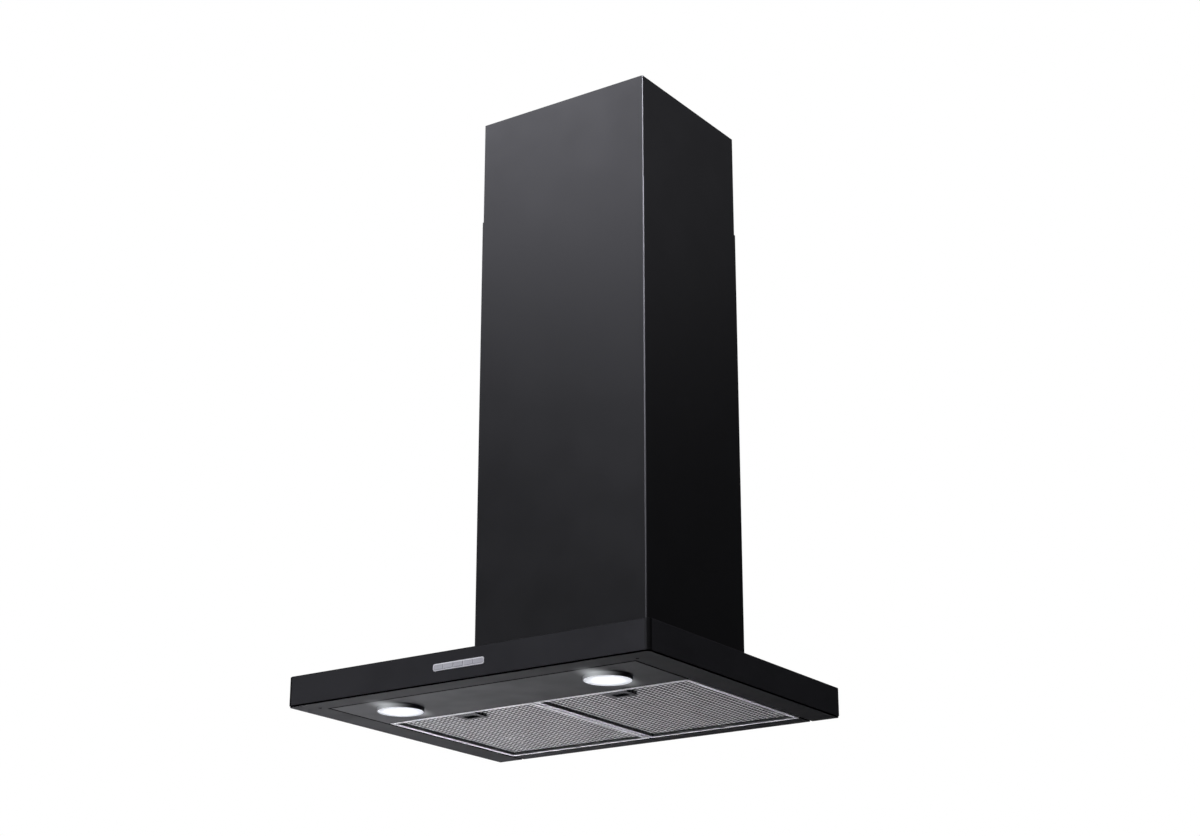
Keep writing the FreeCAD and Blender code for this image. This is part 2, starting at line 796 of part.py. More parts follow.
def make_filter_hook(x):
    """Tab that runs back over the rail's round lip and turns down behind it."""
    span = (x - hook_width / 2, x + hook_width / 2)
    inner = rail_sheet / 2 + hook_clearance
    outer = inner + hook_sheet
    top = block(span, (filter_rear_y - filter_sheet, pivot_y), (pivot_z + inner, pivot_z + outer))
    bend = tube(inner, outer, span[0], span[1], V(0, pivot_y, pivot_z), X_AXIS)
    bend = bend.common(block(span, (pivot_y, pivot_y + outer), (pivot_z, pivot_z + outer)))
    tail = block(span, (pivot_y + inner, pivot_y + outer), (pivot_z - hook_tail, pivot_z))
    return top.fuse(bend).fuse(tail)


def make_latch():
    """Flush plate with a finger slot, a tongue to the front and a tab for the spring."""
    half = latch_width / 2
    rear = latch_front_y + latch_length
    z = (latch_base_gap, latch_base_gap + latch_thickness)
    plate = block((-half, half), (latch_front_y, rear), z)
    slot_half = finger_slot_width / 2
    slot_rear = rear - finger_slot_rear_strip
    slot_y = (slot_rear - finger_slot_length, slot_rear)
    plate = plate.cut(block((-slot_half, slot_half), slot_y, (z[0] - PAST, z[1] + PAST)))
    tongue_y_span = (filter_front_y - tongue_reach, latch_front_y)
    tongue_z = (tongue_low, tongue_low + tongue_thickness)
    tongue = block((-tongue_width / 2, tongue_width / 2), tongue_y_span, tongue_z)
    tab_y = (latch_tab_y, latch_tab_y + latch_tab_thickness)
    tab_z = (z[0], z[1] + latch_tab_height)
    tab = block((-latch_tab_width / 2, latch_tab_width / 2), tab_y, tab_z)
    return plate.fuse(tongue).fuse(tab)


def make_latch_guide():
    """Strap under the top flange that the spring pushes against."""
    half = guide_width / 2
    top = filter_height - filter_sheet - mesh_sheet
    low = top - guide_sheet
    front = filter_front_y + filter_sheet
    rear = guide_stop_y + guide_stop_thickness
    strap = block((-half, half), (front, rear), (low, top))
    seat = block((-half, half), (front, filter_front_y + filter_lip), (top, filter_height - filter_sheet))
    stop_half = latch_tab_width / 2
    stop = block((-stop_half, stop_half), (guide_stop_y, rear), (mesh_z, low))
    return strap.fuse(seat).fuse(stop)


def make_latch_spring():
    """Bowed leaf between the latch's tab and the guide's stop, arched towards the filter's inside."""
    start = latch_tab_y + latch_tab_thickness + spring_end_gap
    end = start + spring_length
    middle = (start + end) / 2
    low = latch_base_gap + latch_thickness + latch_tab_height / 2
    half = spring_width / 2
    edges = [
        Part.Arc(V(-half, start, low), V(-half, middle, low + spring_rise), V(-half, end, low)).toShape(),
        Part.makeLine(V(-half, end, low), V(-half, end, low + spring_sheet)),
        Part.Arc(
            V(-half, end, low + spring_sheet),
            V(-half, middle, low + spring_rise + spring_sheet),
            V(-half, start, low + spring_sheet),
        ).toShape(),
        Part.makeLine(V(-half, start, low + spring_sheet), V(-half, start, low)),
    ]
    return Part.Face(Part.Wire(edges)).extrude(V(spring_width, 0, 0))


# ------------------------------------------------------------------ blower


def scroll_arc_points(centre, radius, start, end):
    """Start, middle and end of an arc in the YZ plane; angles in degrees from +Y towards +Z."""
    angles = (start, (start + end) / 2, end)
    return [
        V(0, centre[0] + radius * math.cos(math.radians(a)), centre[1] + radius * math.sin(math.radians(a)))
        for a in angles
    ]


def scroll_prism(grow, top, low_x, high_x):
    """The casing's outline, grown outwards, carried along X."""
    shift = scroll_step / 2
    first = (scroll_y + shift, scroll_z - shift)
    second = (scroll_y - shift, scroll_z - shift)
    third = (scroll_y - shift, scroll_z + shift)
    radius = scroll_first_radius + grow
    wall_y = tongue_y + grow
    start = math.degrees(math.acos((wall_y - first[0]) / radius))
    rear = scroll_arc_points(first, radius, start, 0)
    bottom = scroll_arc_points(second, radius + scroll_step, 0, -90)
    front = scroll_arc_points(third, radius + 2 * scroll_step, -90, -180)
    top_front = V(0, front[2].y, top)
    top_rear = V(0, wall_y, top)
    edges = [
        Part.Arc(*rear).toShape(),
        Part.Arc(*bottom).toShape(),
        Part.Arc(*front).toShape(),
        Part.makeLine(front[2], top_front),
        Part.makeLine(top_front, top_rear),
        Part.makeLine(top_rear, rear[0]),
    ]
    solid = Part.Face(Part.Wire(edges)).extrude(V(high_x - low_x, 0, 0))
    solid.translate(V(low_x, 0, 0))
    return solid


def make_scroll_wrapper():
    half = scroll_half_width
    outer = scroll_prism(scroll_sheet, scroll_top_z, -half, half)
    return outer.cut(scroll_prism(0, scroll_top_z + PAST, -half - PAST, half + PAST))


def make_scroll_side():
    """Side plate of the casing, with its flared inlet ring turned inwards."""
    axis_point = V(0, scroll_y, scroll_z)
    inner = scroll_half_width
    outer = inner + scroll_sheet
    plate = scroll_prism(scroll_sheet, scroll_top_z, inner, outer)
    mouth = inlet_radius + inlet_flare
    plate = plate.cut(rod(mouth, inner - PAST, outer + PAST, axis_point, X_AXIS))
    bend_x = outer - inlet_flare
    outside = []
    inside = []
    for step in range(flare_steps + 1):
        angle = math.radians(90 / flare_steps * step)
        for points, bend in ((outside, inlet_flare), (inside, inlet_flare - scroll_sheet)):
            x = bend_x + bend * math.sin(angle)
            points.append(V(x, scroll_y + mouth - bend * math.cos(angle), scroll_z))
    outline = outside + inside[::-1]
    flare = Part.Face(Part.makePolygon(outline + outline[:1])).revolve(axis_point, X_AXIS, 360)
    return plate.fuse(flare)


def make_blade():
    """One forward-curved blade: a strip folded once, a little thicker towards its tip."""

    def at(radius, degrees, extra=0.0):
        a = math.radians(degrees)
        return V(0, radius * math.cos(a) - extra * math.sin(a), radius * math.sin(a) + extra * math.cos(a))

    middle_radius = (blade_inner_radius + blade_outer_radius) / 2
    first = [
        at(blade_inner_radius, 0),
        at(middle_radius, blade_lead / 2, -blade_camber),
        at(blade_outer_radius, blade_lead),
    ]
    second = [
        at(blade_inner_radius, blade_slice),
        at(middle_radius, blade_lead / 2 + blade_slice, -blade_camber),
        at(blade_outer_radius, blade_lead + blade_slice),
    ]
    length = 2 * (impeller_half_width - impeller_ring_width / 2)
    blade = polygon_prism(first + second[::-1], V(length, 0, 0))
    blade.translate(V(-length / 2, 0, 0))
    return blade


def make_impeller_disc():
    """Centre disc with lightening holes, and the hub that it is riveted to."""
    origin = V(0, 0, 0)
    radius = blade_inner_radius - disc_blade_gap
    disc = rod(radius, -impeller_disc / 2, impeller_disc / 2, origin, X_AXIS)
    for index in range(lightening_count):
        angle = math.radians(360 / lightening_count * index)
        place = V(0, lightening_circle * math.cos(angle), lightening_circle * math.sin(angle))
        disc = disc.cut(rod(lightening_radius, -impeller_disc, impeller_disc, place, X_AXIS))
    disc = disc.fuse(rod(hub_radius, -hub_length / 2, hub_length / 2, origin, X_AXIS))
    disc = disc.cut(rod(shaft_radius, -hub_length, hub_length, origin, X_AXIS))
    disc.translate(V(0, scroll_y, scroll_z))
    return disc


def make_impeller():
    """Blades between two end rings."""
    origin = V(0, 0, 0)
    blades = []
    for index in range(blade_count):
        blade = make_blade()
        blade.rotate(origin, X_AXIS, 360 / blade_count * index)
        blades.append(blade)
    ring_inner = impeller_radius - impeller_ring_depth
    ring_x = impeller_half_width - impeller_ring_width
    rings = [
        tube(ring_inner, impeller_radius, ring_x, impeller_half_width, origin, X_AXIS),
        tube(ring_inner, impeller_radius, -impeller_half_width, -ring_x, origin, X_AXIS),
    ]
    wheel = rings[0].fuse(rings[1:] + blades)
    wheel.translate(V(0, scroll_y, scroll_z))
    return wheel


def axis_rod(radius, low, high):
    """Cylinder on the impeller's axis."""
    return rod(radius, low, high, V(0, scroll_y, scroll_z), X_AXIS)


def rotor_span():
    middle = -(motor_outer_end + motor_inner_end) / 2
    return (middle - rotor_length / 2, middle + rotor_length / 2)


def make_motor_shaft():
    return axis_rod(shaft_radius, -motor_outer_end + shaft_end_recess, hub_length / 2 + shaft_wheel_overhang)


def make_motor_rotor():
    low, high = rotor_span()
    return axis_rod(rotor_radius, low, high).cut(axis_rod(shaft_radius, low - PAST, high + PAST))


def make_motor_housing():
    """Barrel with stepped end shields, seats for the bearings and room for the rotor."""
    low = -motor_outer_end
    high = -motor_inner_end
    barrel = axis_rod(motor_radius, low + motor_end_step, high - motor_end_step)
    barrel = barrel.fuse(axis_rod(motor_end_radius, low, high))
    rotor_low, rotor_high = rotor_span()
    room = axis_rod(rotor_radius + rotor_gap, rotor_low - rotor_gap, rotor_high + rotor_gap)
    bore = axis_rod(shaft_radius + shaft_clearance, low - PAST, high + PAST)
    seats = [axis_rod(bearing_radius, low - PAST, low + bearing_length)]
    seats.append(axis_rod(bearing_radius, high - bearing_length, high + PAST))
    return barrel.cut([room, bore] + seats)


def make_motor_bearings():
    hole = axis_rod(shaft_radius + bearing_fit, -motor_outer_end - PAST, 0)
    rear = axis_rod(bearing_radius, -motor_outer_end, -motor_outer_end + bearing_length).cut(hole)
    front = axis_rod(bearing_radius, -motor_inner_end - bearing_length, -motor_inner_end).cut(hole)
    return [rear, front]


def make_motor_mount():
    """Clamp ring round the barrel with three cranked arms to the scroll's side plate."""
    plate_x = -(scroll_half_width + scroll_sheet)
    ring_high = plate_x - mount_ring_offset
    ring_low = ring_high - mount_ring_width
    outer = motor_radius + mount_ring_wall
    mount = axis_rod(outer, ring_low, ring_high)
    mount = mount.cut(axis_rod(motor_radius, ring_low - PAST, ring_high + PAST))
    half = mount_arm_width / 2
    leg_reach = mount_foot_circle - mount_foot_length / 2
    for index in range(mount_arm_count):
        radial = (scroll_z + outer - mount_ring_wall / 2, scroll_z + leg_reach + mount_arm_sheet)
        across = (scroll_y - half, scroll_y + half)
        arm = block((ring_high - mount_arm_sheet, ring_high), across, radial)
        leg_z = (scroll_z + leg_reach, scroll_z + leg_reach + mount_arm_sheet)
        leg = block((ring_high - mount_arm_sheet, plate_x), across, leg_z)
        foot_z = (scroll_z + leg_reach, scroll_z + leg_reach + mount_foot_length)
        foot = block((plate_x - mount_arm_sheet, plate_x), across, foot_z)
        crank = arm.fuse(leg).fuse(foot)
        hole = rod(mount_screw_radius, plate_x - PAST * 2, plate_x + PAST, mount_screw_place(0), X_AXIS)
        crank = crank.cut(hole)
        crank.rotate(V(0, scroll_y, scroll_z), X_AXIS, 360 / mount_arm_count * index)
        mount = mount.fuse(crank)
    return mount


def mount_screw_place(index):
    angle = math.radians(90 + 360 / mount_arm_count * index)
    radius = mount_foot_circle + mount_arm_sheet
    return V(0, scroll_y + radius * math.cos(angle), scroll_z + radius * math.sin(angle))


def make_motor_screws():
    """Pan-head screws through the feet of the motor mount."""
    plate_x = -(scroll_half_width + scroll_sheet)
    screws = []
    for index in range(mount_arm_count):
        place = mount_screw_place(index)
        head = hexagon(2 * mount_screw_radius, mount_screw_radius, X_AXIS)
        head.translate(place + V(plate_x - mount_arm_sheet - mount_screw_radius, 0, 0))
        shank = rod(mount_screw_radius, plate_x - mount_arm_sheet, plate_x, place, X_AXIS)
        screws.append(head.fuse(shank))
    return screws


def make_motor_chassis():
    """Open-bottomed box with side flanges on the canopy and hanging holes in its back."""
    half = chassis_half_width
    outer = block((-half, half), (-chassis_depth, 0), (top_z, chassis_top_z))
    inner_y = (-chassis_depth + chassis_sheet, -chassis_sheet)
    inner = block((-chassis_inner_half, chassis_inner_half), inner_y, (top_z - PAST, scroll_top_z))
    box = outer.cut(inner)
    flange_y = (-chassis_depth, -chassis_flange_wall_gap)
    flange_z = (top_z, top_z + chassis_sheet)
    for side in (-1, 1):
        span = sorted((side * (half - chassis_sheet), side * (half + chassis_flange)))
        box = box.fuse(block(span, flange_y, flange_z))
    outlet = duct_radius - collar_wall
    box = box.cut(rod(outlet, scroll_top_z - PAST, chassis_top_z + PAST, V(0, collar_y, 0)))
    for place in chassis_screw_places():
        box = box.cut(rod(chassis_screw_radius, top_z - PAST, top_z + PAST, place))
    hang_z = chassis_top_z - hang_hole_drop
    safety_z = top_z + safety_hole_rise
    for radius, height in ((hang_hole_radius, hang_z), (safety_hole_radius, safety_z)):
        for side in (-1, 1):
            place = V(side * hang_hole_spacing / 2, 0, height)
            box = box.cut(rod(radius, -chassis_sheet - PAST, PAST, place, Y_AXIS))
    return box


def make_chassis_screws():
    screws = []
    for place in chassis_screw_places():
        seat = top_z + chassis_sheet
        head = hexagon(2 * chassis_screw_radius, chassis_screw_radius, Z_AXIS)
        head.translate(place + V(0, 0, seat))
        shank = rod(chassis_screw_radius, ceiling_z - PAST, seat, place)
        screws.append(head.fuse(shank))
    return screws


# ------------------------------------------------------------------ outlet collar and flaps


def flap_axle_place(side):
    return V(0, collar_y + side * flap_axle_spacing / 2, chassis_top_z + flap_axle_height)


def ear_span():
    """Reach of an ear from the inner face of the collar's wall inwards, on the centre line."""
    outer = duct_radius - collar_wall / 2
    return outer - flap_ear_depth, outer


def make_outlet_collar():
    """Duct spigot with a flange, two ears for the flap axles and a closing ledge."""
    centre = V(0, collar_y, 0)
    inner = duct_radius - collar_wall
    low = chassis_top_z
    collar = tube(inner, duct_radius, low, low + collar_height, centre)
    flange = tube(inner, duct_radius + collar_flange, low, low + collar_flange_thickness, centre)
    ledge_top = low + flap_axle_height - flap_thickness / 2 - flap_ledge_gap
    ledge = tube(inner - flap_ledge_width, inner, ledge_top - flap_ledge_thickness, ledge_top, centre)
    clear = flap_axle_spacing / 2 + flap_root_reach
    gap_y = (collar_y - clear, collar_y + clear)
    ledge = ledge.cut(block((-duct_radius, duct_radius), gap_y, (low, low + collar_height)))
    collar = collar.fuse(flange).fuse(ledge)
    skin = rod(duct_radius - collar_wall / 2, low, low + collar_height, centre)
    ear_half = flap_axle_spacing / 2 + flap_ear_margin
    axle_z = flap_axle_place(1).z
    for way in (-1, 1):
        x = sorted(way * value for value in ear_span())
        y = (collar_y - ear_half, collar_y + ear_half)
        ear = block(x, y, (axle_z - flap_ear_margin, axle_z + flap_ear_margin)).common(skin)
        for side in (-1, 1):
            ear = ear.cut(rod(flap_axle_radius, -duct_radius, duct_radius, flap_axle_place(side), X_AXIS))
        collar = collar.fuse(ear)
    return collar


def make_flap_axles():
    """Two pins across the collar, one for each flap, held in the ears."""
    end = ear_span()[0] + flap_axle_grip
    return [rod(flap_axle_radius, -end, end, flap_axle_place(side), X_AXIS) for side in (-1, 1)]


def make_damper_flap(side):
    """Half disc on a knuckle round its axle; side -1 is the front one."""
    axle = flap_axle_place(side)
    radius = duct_radius - collar_wall - flap_wall_gap
    z = (axle.z - flap_thickness / 2, axle.z + flap_thickness / 2)
    disc = rod(radius, z[0], z[1], V(0, collar_y, 0))
    reach = sorted((axle.y, collar_y + side * duct_radius))
    flap = disc.common(block((-duct_radius, duct_radius), reach, z))
    knuckle_radius = flap_axle_radius + flap_knuckle_wall
    span = flap_knuckle_length
    knuckle = rod(knuckle_radius, -span, span, axle, X_AXIS)
    bore = rod(flap_axle_radius + flap_bore_gap, -duct_radius, duct_radius, axle, X_AXIS)
    flap = flap.fuse(knuckle)
    root = (axle.y - flap_root_reach, axle.y + flap_root_reach)
    for way in (-1, 1):
        outer = sorted((way * span, way * duct_radius))
        flap = flap.cut(block(outer, root, (z[0] - PAST, z[1] + PAST)))
    return flap.cut(bore)


# ------------------------------------------------------------------ electrical parts


def make_terminal_box():
    half_x = terminal_width / 2
    half_y = terminal_depth / 2
    x = (terminal_centre_x - half_x, terminal_centre_x + half_x)
    y = (terminal_centre_y - half_y, terminal_centre_y + half_y)
    z = (chassis_top_z, chassis_top_z + terminal_height)
    box = block(x, y, z)
    wall = terminal_wall
    return box.cut(block((x[0] + wall, x[1] - wall), (y[0] + wall, y[1] - wall), (z[0] + wall, z[1] + PAST)))


def gland_place():
    return V(terminal_centre_x, terminal_centre_y + terminal_depth / 2 - gland_setback, 0)


def make_terminal_cover():
    half_x = terminal_width / 2
    half_y = terminal_depth / 2
    x = (terminal_centre_x - half_x, terminal_centre_x + half_x)
    y = (terminal_centre_y - half_y, terminal_centre_y + half_y)
    low = chassis_top_z + terminal_height
    cover = block(x, y, (low, low + terminal_cover_thickness))
    upper = [edge for edge in cover.Edges if edge.BoundBox.ZMin > low + terminal_cover_thickness / 2]
    cover = cover.makeChamfer(terminal_cover_thickness / 3, upper)
    hole = gland_bore_radius + terminal_wall
    return cover.cut(rod(hole, low - PAST, low + terminal_cover_thickness + PAST, gland_place()))


def make_cable_gland():
    """Hexagon and domed cap of the supply inlet, with its bore open."""
    place = gland_place()
    low = chassis_top_z + terminal_height + terminal_cover_thickness
    nut = hexagon(gland_nut_radius, gland_nut_height, Z_AXIS)
    nut.translate(place + V(0, 0, low))
    dome_top = low + gland_nut_height + gland_dome_height
    dome = rod(gland_dome_radius, low + gland_nut_height, dome_top, place)
    top = [edge for edge in dome.Edges if edge.BoundBox.ZMin > dome_top - 1e-6]
    dome = dome.makeChamfer(gland_dome_radius - gland_bore_radius - gland_rim, top)
    return nut.fuse(dome).cut(rod(gland_bore_radius, low - PAST, dome_top + PAST, place))


def capacitor_axis():
    return V(capacitor_centre_x, capacitor_centre_y, chassis_top_z + capacitor_radius)


def make_capacitor():
    axis = capacitor_axis()
    half = capacitor_length / 2
    can = rod(capacitor_radius, -half, half, axis, Y_AXIS)
    rims = [edge for edge in can.Edges if edge.BoundBox.YLength < 1e-6]
    can = can.makeChamfer(capacitor_bevel, rims)
    return can.fuse(rod(capacitor_neck, half, half + capacitor_neck, axis, Y_AXIS))


def make_capacitor_clip():
    """Saddle strap over the can, with a foot on each side."""
    axis = capacitor_axis()
    half = capacitor_clip_width / 2
    outer = capacitor_radius + capacitor_clip_sheet
    arch = tube(capacitor_radius, outer, -half, half, axis, Y_AXIS)
    y = (axis.y - half, axis.y + half)
    clip = arch.common(block((axis.x - outer, axis.x + outer), y, (axis.z, axis.z + outer)))
    for side in (-1, 1):
        wall = sorted((axis.x + side * capacitor_radius, axis.x + side * outer))
        foot = sorted((axis.x + side * capacitor_radius, axis.x + side * (outer + capacitor_clip_foot)))
        clip = clip.fuse(block(wall, y, (chassis_top_z, axis.z)))
        clip = clip.fuse(block(foot, y, (chassis_top_z, chassis_top_z + capacitor_clip_sheet)))
    return clip


# ------------------------------------------------------------------ flue cover


def flue_cover(half, front, rear, radius, low, high):
    """Folded sheet open at the wall, with a short return on each side."""
    cover = plan_prism(half, front, rear, radius, low, high)
    sheet = flue_sheet
    cover = cover.cut(
        plan_prism(half - sheet, front + sheet, rear - sheet, radius - sheet, low - PAST, high + PAST)
    )
    gap = half - flue_return
    return cover.cut(block((-gap, gap), (rear - sheet - PAST, rear + PAST), (low - PAST, high + PAST)))


def make_lower_flue():
    return flue_cover(flue_half_width, flue_front_y, flue_rear_y, flue_corner_radius, top_z, flue_top_z)


def make_upper_flue():
    """Sliding half, with rows of vent slots near its lower end that the lower half hides."""
    radius = flue_corner_radius - upper_step / 2
    top = upper_flue_rest_top
    cover = flue_cover(upper_half_width, upper_front_y, upper_rear_y, radius, upper_bottom_z, top)
    middle = (upper_front_y + upper_rear_y) / 2
    slots = []
    for index in range(vent_slot_count):
        low = upper_bottom_z + vent_slot_first + index * vent_slot_pitch
        y = (middle - vent_slot_width / 2, middle + vent_slot_width / 2)
        slots.append(block((-flue_half_width, flue_half_width), y, (low, low + vent_slot_height)))
    return cover.cut(Part.makeCompound(slots))


def make_flue_locators():
    """Two angles on the canopy that the foot of the lower flue drops over."""
    locators = []
    front = flue_front_y + flue_sheet + flue_slide_gap
    for side in (-1, 1):
        centre = side * locator_spacing / 2
        x = (centre - locator_width / 2, centre + locator_width / 2)
        foot = block(x, (front, front + locator_foot), (top_z, top_z + locator_sheet))
        upright = block(x, (front, front + locator_sheet), (top_z, top_z + locator_height))
        locators.append(foot.fuse(upright))
    return locators


def make_flue_bracket():
    """Bent strip on the wall whose end tabs carry the upper flue from inside."""
    top = upper_flue_rest_top - bracket_drop
    z = (top - bracket_height, top)
    sheet = bracket_sheet
    end = upper_half_width - flue_sheet - bracket_fit
    step = bracket_step_half_width
    step_y = (-bracket_step - sheet, -bracket_step)
    strip = block((-step, step), (-sheet, 0), z)
    for side in (-1, 1):
        riser = sorted((side * (step - sheet), side * step))
        strip = strip.fuse(block(riser, (-bracket_step - sheet, 0), z))
        wing = sorted((side * (step - sheet), side * end))
        strip = strip.fuse(block(wing, step_y, z))
        tab = sorted((side * (end - sheet), side * end))
        strip = strip.fuse(block(tab, (-bracket_step - bracket_tab, -bracket_step), z))
        place = V(side * bracket_hole_spacing / 2, 0, sum(z) / 2)
        strip = strip.cut(rod(bracket_hole_radius, -sheet - PAST, PAST, place, Y_AXIS))
    return strip


def moved_to_filter(shape, side):
    """A filter piece drawn at x = 0, moved to the left or right filter."""
    placed = shape.copy()
    placed.translate(V(side * filter_centre_x, 0, 0))
    return placed


def main():
    os.makedirs("parts", exist_ok=True)
    save("canopy_shell", make_canopy_shell())
    save("underside_frame", make_underside_frame())
    tray_screw = make_tray_screw()
    save("underside_screws", tray_screw, mirrored(tray_screw))
    corner_bracket = make_corner_bracket()
    save("corner_brackets", corner_bracket, mirrored(corner_bracket))
    save("rear_rail", make_rear_rail())
    save("lamp_panel", make_lamp_panel())
    save("lamp_clips", *make_lamp_clips())
    save("control_bezel", make_control_bezel())
    save("switch_block", make_switch_block())
    for index in range(button_count):
        save("button_" + str(index + 1), make_button(index))
    filter_pieces = {
        "filter_frame": make_filter_frame(),
        "filter_mesh": make_filter_mesh(),
        "filter_backing": make_filter_backing(),
        "latch": make_latch(),
        "latch_guide": make_latch_guide(),
        "latch_spring": make_latch_spring(),
    }
    for side, word in ((-1, "left"), (1, "right")):
        save("lamp_ring_" + word, make_lamp_ring(side))
        save("lamp_lens_" + word, make_lamp_lens(side))
        save("lamp_body_" + word, make_lamp_body(side))
        for name, shape in filter_pieces.items():
            save(name + "_" + word, moved_to_filter(shape, side))
    save("motor_chassis", make_motor_chassis())
    save("chassis_screws", *make_chassis_screws())
    save("scroll_wrapper", make_scroll_wrapper())
    scroll_side = make_scroll_side()
    save("scroll_side_right", scroll_side)
    save("scroll_side_left", mirrored(scroll_side))
    save("impeller", make_impeller())
    save("impeller_disc", make_impeller_disc())
    save("motor_shaft", make_motor_shaft())
    save("motor_rotor", make_motor_rotor())
    save("motor_housing", make_motor_housing())
    save("motor_bearings", *make_motor_bearings())
    save("motor_mount", make_motor_mount())
    save("motor_screws", *make_motor_screws())
    save("outlet_collar", make_outlet_collar())
    save("flap_axles", *make_flap_axles())
    save("damper_flap_front", make_damper_flap(-1))
    save("damper_flap_rear", make_damper_flap(1))
    save("terminal_box", make_terminal_box())
    save("terminal_cover", make_terminal_cover())
    save("cable_gland", make_cable_gland())
    save("capacitor", make_capacitor())
    save("capacitor_clip", make_capacitor_clip())
    save("lower_flue", make_lower_flue())
    save("flue_locators", *make_flue_locators())
    save("upper_flue", make_upper_flue())
    save("flue_bracket", make_flue_bracket())


main()
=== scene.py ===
import bpy
import math
import numpy as np
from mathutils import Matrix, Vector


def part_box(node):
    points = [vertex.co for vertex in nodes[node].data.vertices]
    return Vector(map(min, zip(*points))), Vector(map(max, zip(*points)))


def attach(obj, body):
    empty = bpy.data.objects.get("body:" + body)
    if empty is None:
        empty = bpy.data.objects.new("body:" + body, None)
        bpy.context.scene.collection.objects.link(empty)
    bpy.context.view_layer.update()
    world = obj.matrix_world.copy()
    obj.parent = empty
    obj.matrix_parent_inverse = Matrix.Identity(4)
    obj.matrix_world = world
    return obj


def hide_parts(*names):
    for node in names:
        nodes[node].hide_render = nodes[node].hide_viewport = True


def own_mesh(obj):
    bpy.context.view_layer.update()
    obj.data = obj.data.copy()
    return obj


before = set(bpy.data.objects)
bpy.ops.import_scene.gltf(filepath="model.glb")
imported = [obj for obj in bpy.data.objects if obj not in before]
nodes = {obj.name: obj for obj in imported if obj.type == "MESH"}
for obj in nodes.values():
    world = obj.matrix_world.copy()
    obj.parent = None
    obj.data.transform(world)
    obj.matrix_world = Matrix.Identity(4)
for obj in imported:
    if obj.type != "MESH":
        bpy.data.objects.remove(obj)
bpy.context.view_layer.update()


# Flue covers: two U-shaped folds of sheet steel, powder coated satin black. The upper one slides
# inside the lower one. The coat is a very fine orange peel, which keeps the sheen soft. A light
# grey highlight is painted along the front folds, strong at the top and fading towards the canopy.
def linear(hex_colour):
    """sRGB hex to linear RGB: c / 12.92 up to 0.04045, and above it ((c + 0.055) / 1.055) ^ 2.4."""
    parts = [int(hex_colour[i:i + 2], 16) / 255 for i in (1, 3, 5)]
    return tuple(c / 12.92 if c <= 0.04045 else ((c + 0.055) / 1.055) ** 2.4 for c in parts)


def give(tree, socket, value):
    """Links a socket to another one or to a node's first output, or else sets its value, which may
    be a hex colour."""
    if isinstance(value, bpy.types.Node):
        value = value.outputs[0]
    if isinstance(value, bpy.types.NodeSocket):
        tree.links.new(value, socket)
    elif isinstance(value, str):
        socket.default_value = (*linear(value), 1)
    else:
        socket.default_value = value


def add(tree, kind, *in_order, **named):
    """Adds a shader node. Values in order go to its first inputs. A named one goes to the input of
    that name or, where the name starts with a small letter, to that setting of the node."""
    made = tree.nodes.new("ShaderNode" + kind)
    for name, value in named.items():
        if name[0].islower():
            setattr(made, name, value)
    for socket, value in zip(made.inputs, in_order):
        give(tree, socket, value)
    for name, value in named.items():
        if name[0].isupper():
            give(tree, made.inputs[name.replace("_", " ")], value)
    return made


def workings(material):
    """A material's node tree, its shader, and the place of each point in the object's metres."""
    tree = material.node_tree
    return tree, tree.nodes["Principled BSDF"], add(tree, "TexCoord").outputs["Object"]


def new_material(name, metallic=0.0):
    """A new material, followed by its workings."""
    made = bpy.data.materials.new(name)
    made.use_nodes = True
    tree, shader, place = workings(made)
    shader.inputs["Metallic"].default_value = metallic
    return made, tree, shader, place


def noise(tree, place, size_mm, stretch=(1, 1, 1), detail=2.0):
    """Noise whose lumps are size_mm across, drawn out along an axis where stretch is below 1."""
    scale = tuple(1000 * s / size_mm for s in stretch)
    moved = add(tree, "Mapping", Vector=place, Scale=scale)
    return add(tree, "TexNoise", Vector=moved, Scale=1.0, Detail=detail)


def colour_between(tree, shader, factor, dark, light, low=0.35, high=0.65):
    """Base colour that runs from dark to light as factor goes from low to high."""
    ramp = add(tree, "ValToRGB", Fac=factor)
    stops = ramp.color_ramp.elements
    for stop, position, colour in zip(stops, (low, high), (dark, light)):
        stop.position = position
        stop.color = (*linear(colour), 1)
    give(tree, shader.inputs["Base Color"], ramp)


def roughness_between(tree, shader, factor, smooth, rough):
    """Roughness that runs from smooth to rough as factor goes from 0.3 to 0.7."""
    spread = add(
        tree, "MapRange", Value=factor, From_Min=0.3, From_Max=0.7, To_Min=smooth, To_Max=rough
    )
    give(tree, shader.inputs["Roughness"], spread)


def raised(tree, shader, factor, height_mm):
    """Bump of the given height in millimetres."""
    bump = add(tree, "Bump", Height=factor, Distance=height_mm / 1000, Strength=1.0)
    give(tree, shader.inputs["Normal"], bump)


def powder_coat(name, dark, light, smooth, rough, gloss=0.5):
    """Satin paint: orange peel 0.9 mm across and 4 micrometres high, faint clouds over 60 mm."""
    made, tree, shader, place = new_material(name)
    shader.inputs["Specular IOR Level"].default_value = gloss
    cloud = noise(tree, place, 60.0)
    colour_between(tree, shader, cloud, dark, light)
    roughness_between(tree, shader, cloud, smooth, rough)
    raised(tree, shader, noise(tree, place, 0.9, detail=1.0), 0.004)
    return made


def dress(material, *names):
    """Gives CAD pieces this material as their only one."""
    for name in names:
        mesh = nodes[name].data
        mesh.materials.clear()
        mesh.materials.append(material)


def folded(tree, first, second, least, most):
    """1 where the sheet turns from facing along one axis to facing along another, and 0 on its
    flats: |n1 n2| of its normal's two parts, counted from least to most."""
    normal = add(tree, "SeparateXYZ", add(tree, "NewGeometry").outputs["True Normal"])
    product = add(tree, "Math", normal.outputs[first], normal.outputs[second], operation="MULTIPLY")
    size = add(tree, "Math", product, operation="ABSOLUTE")
    return add(tree, "MapRange", Value=size, From_Min=least, From_Max=most)


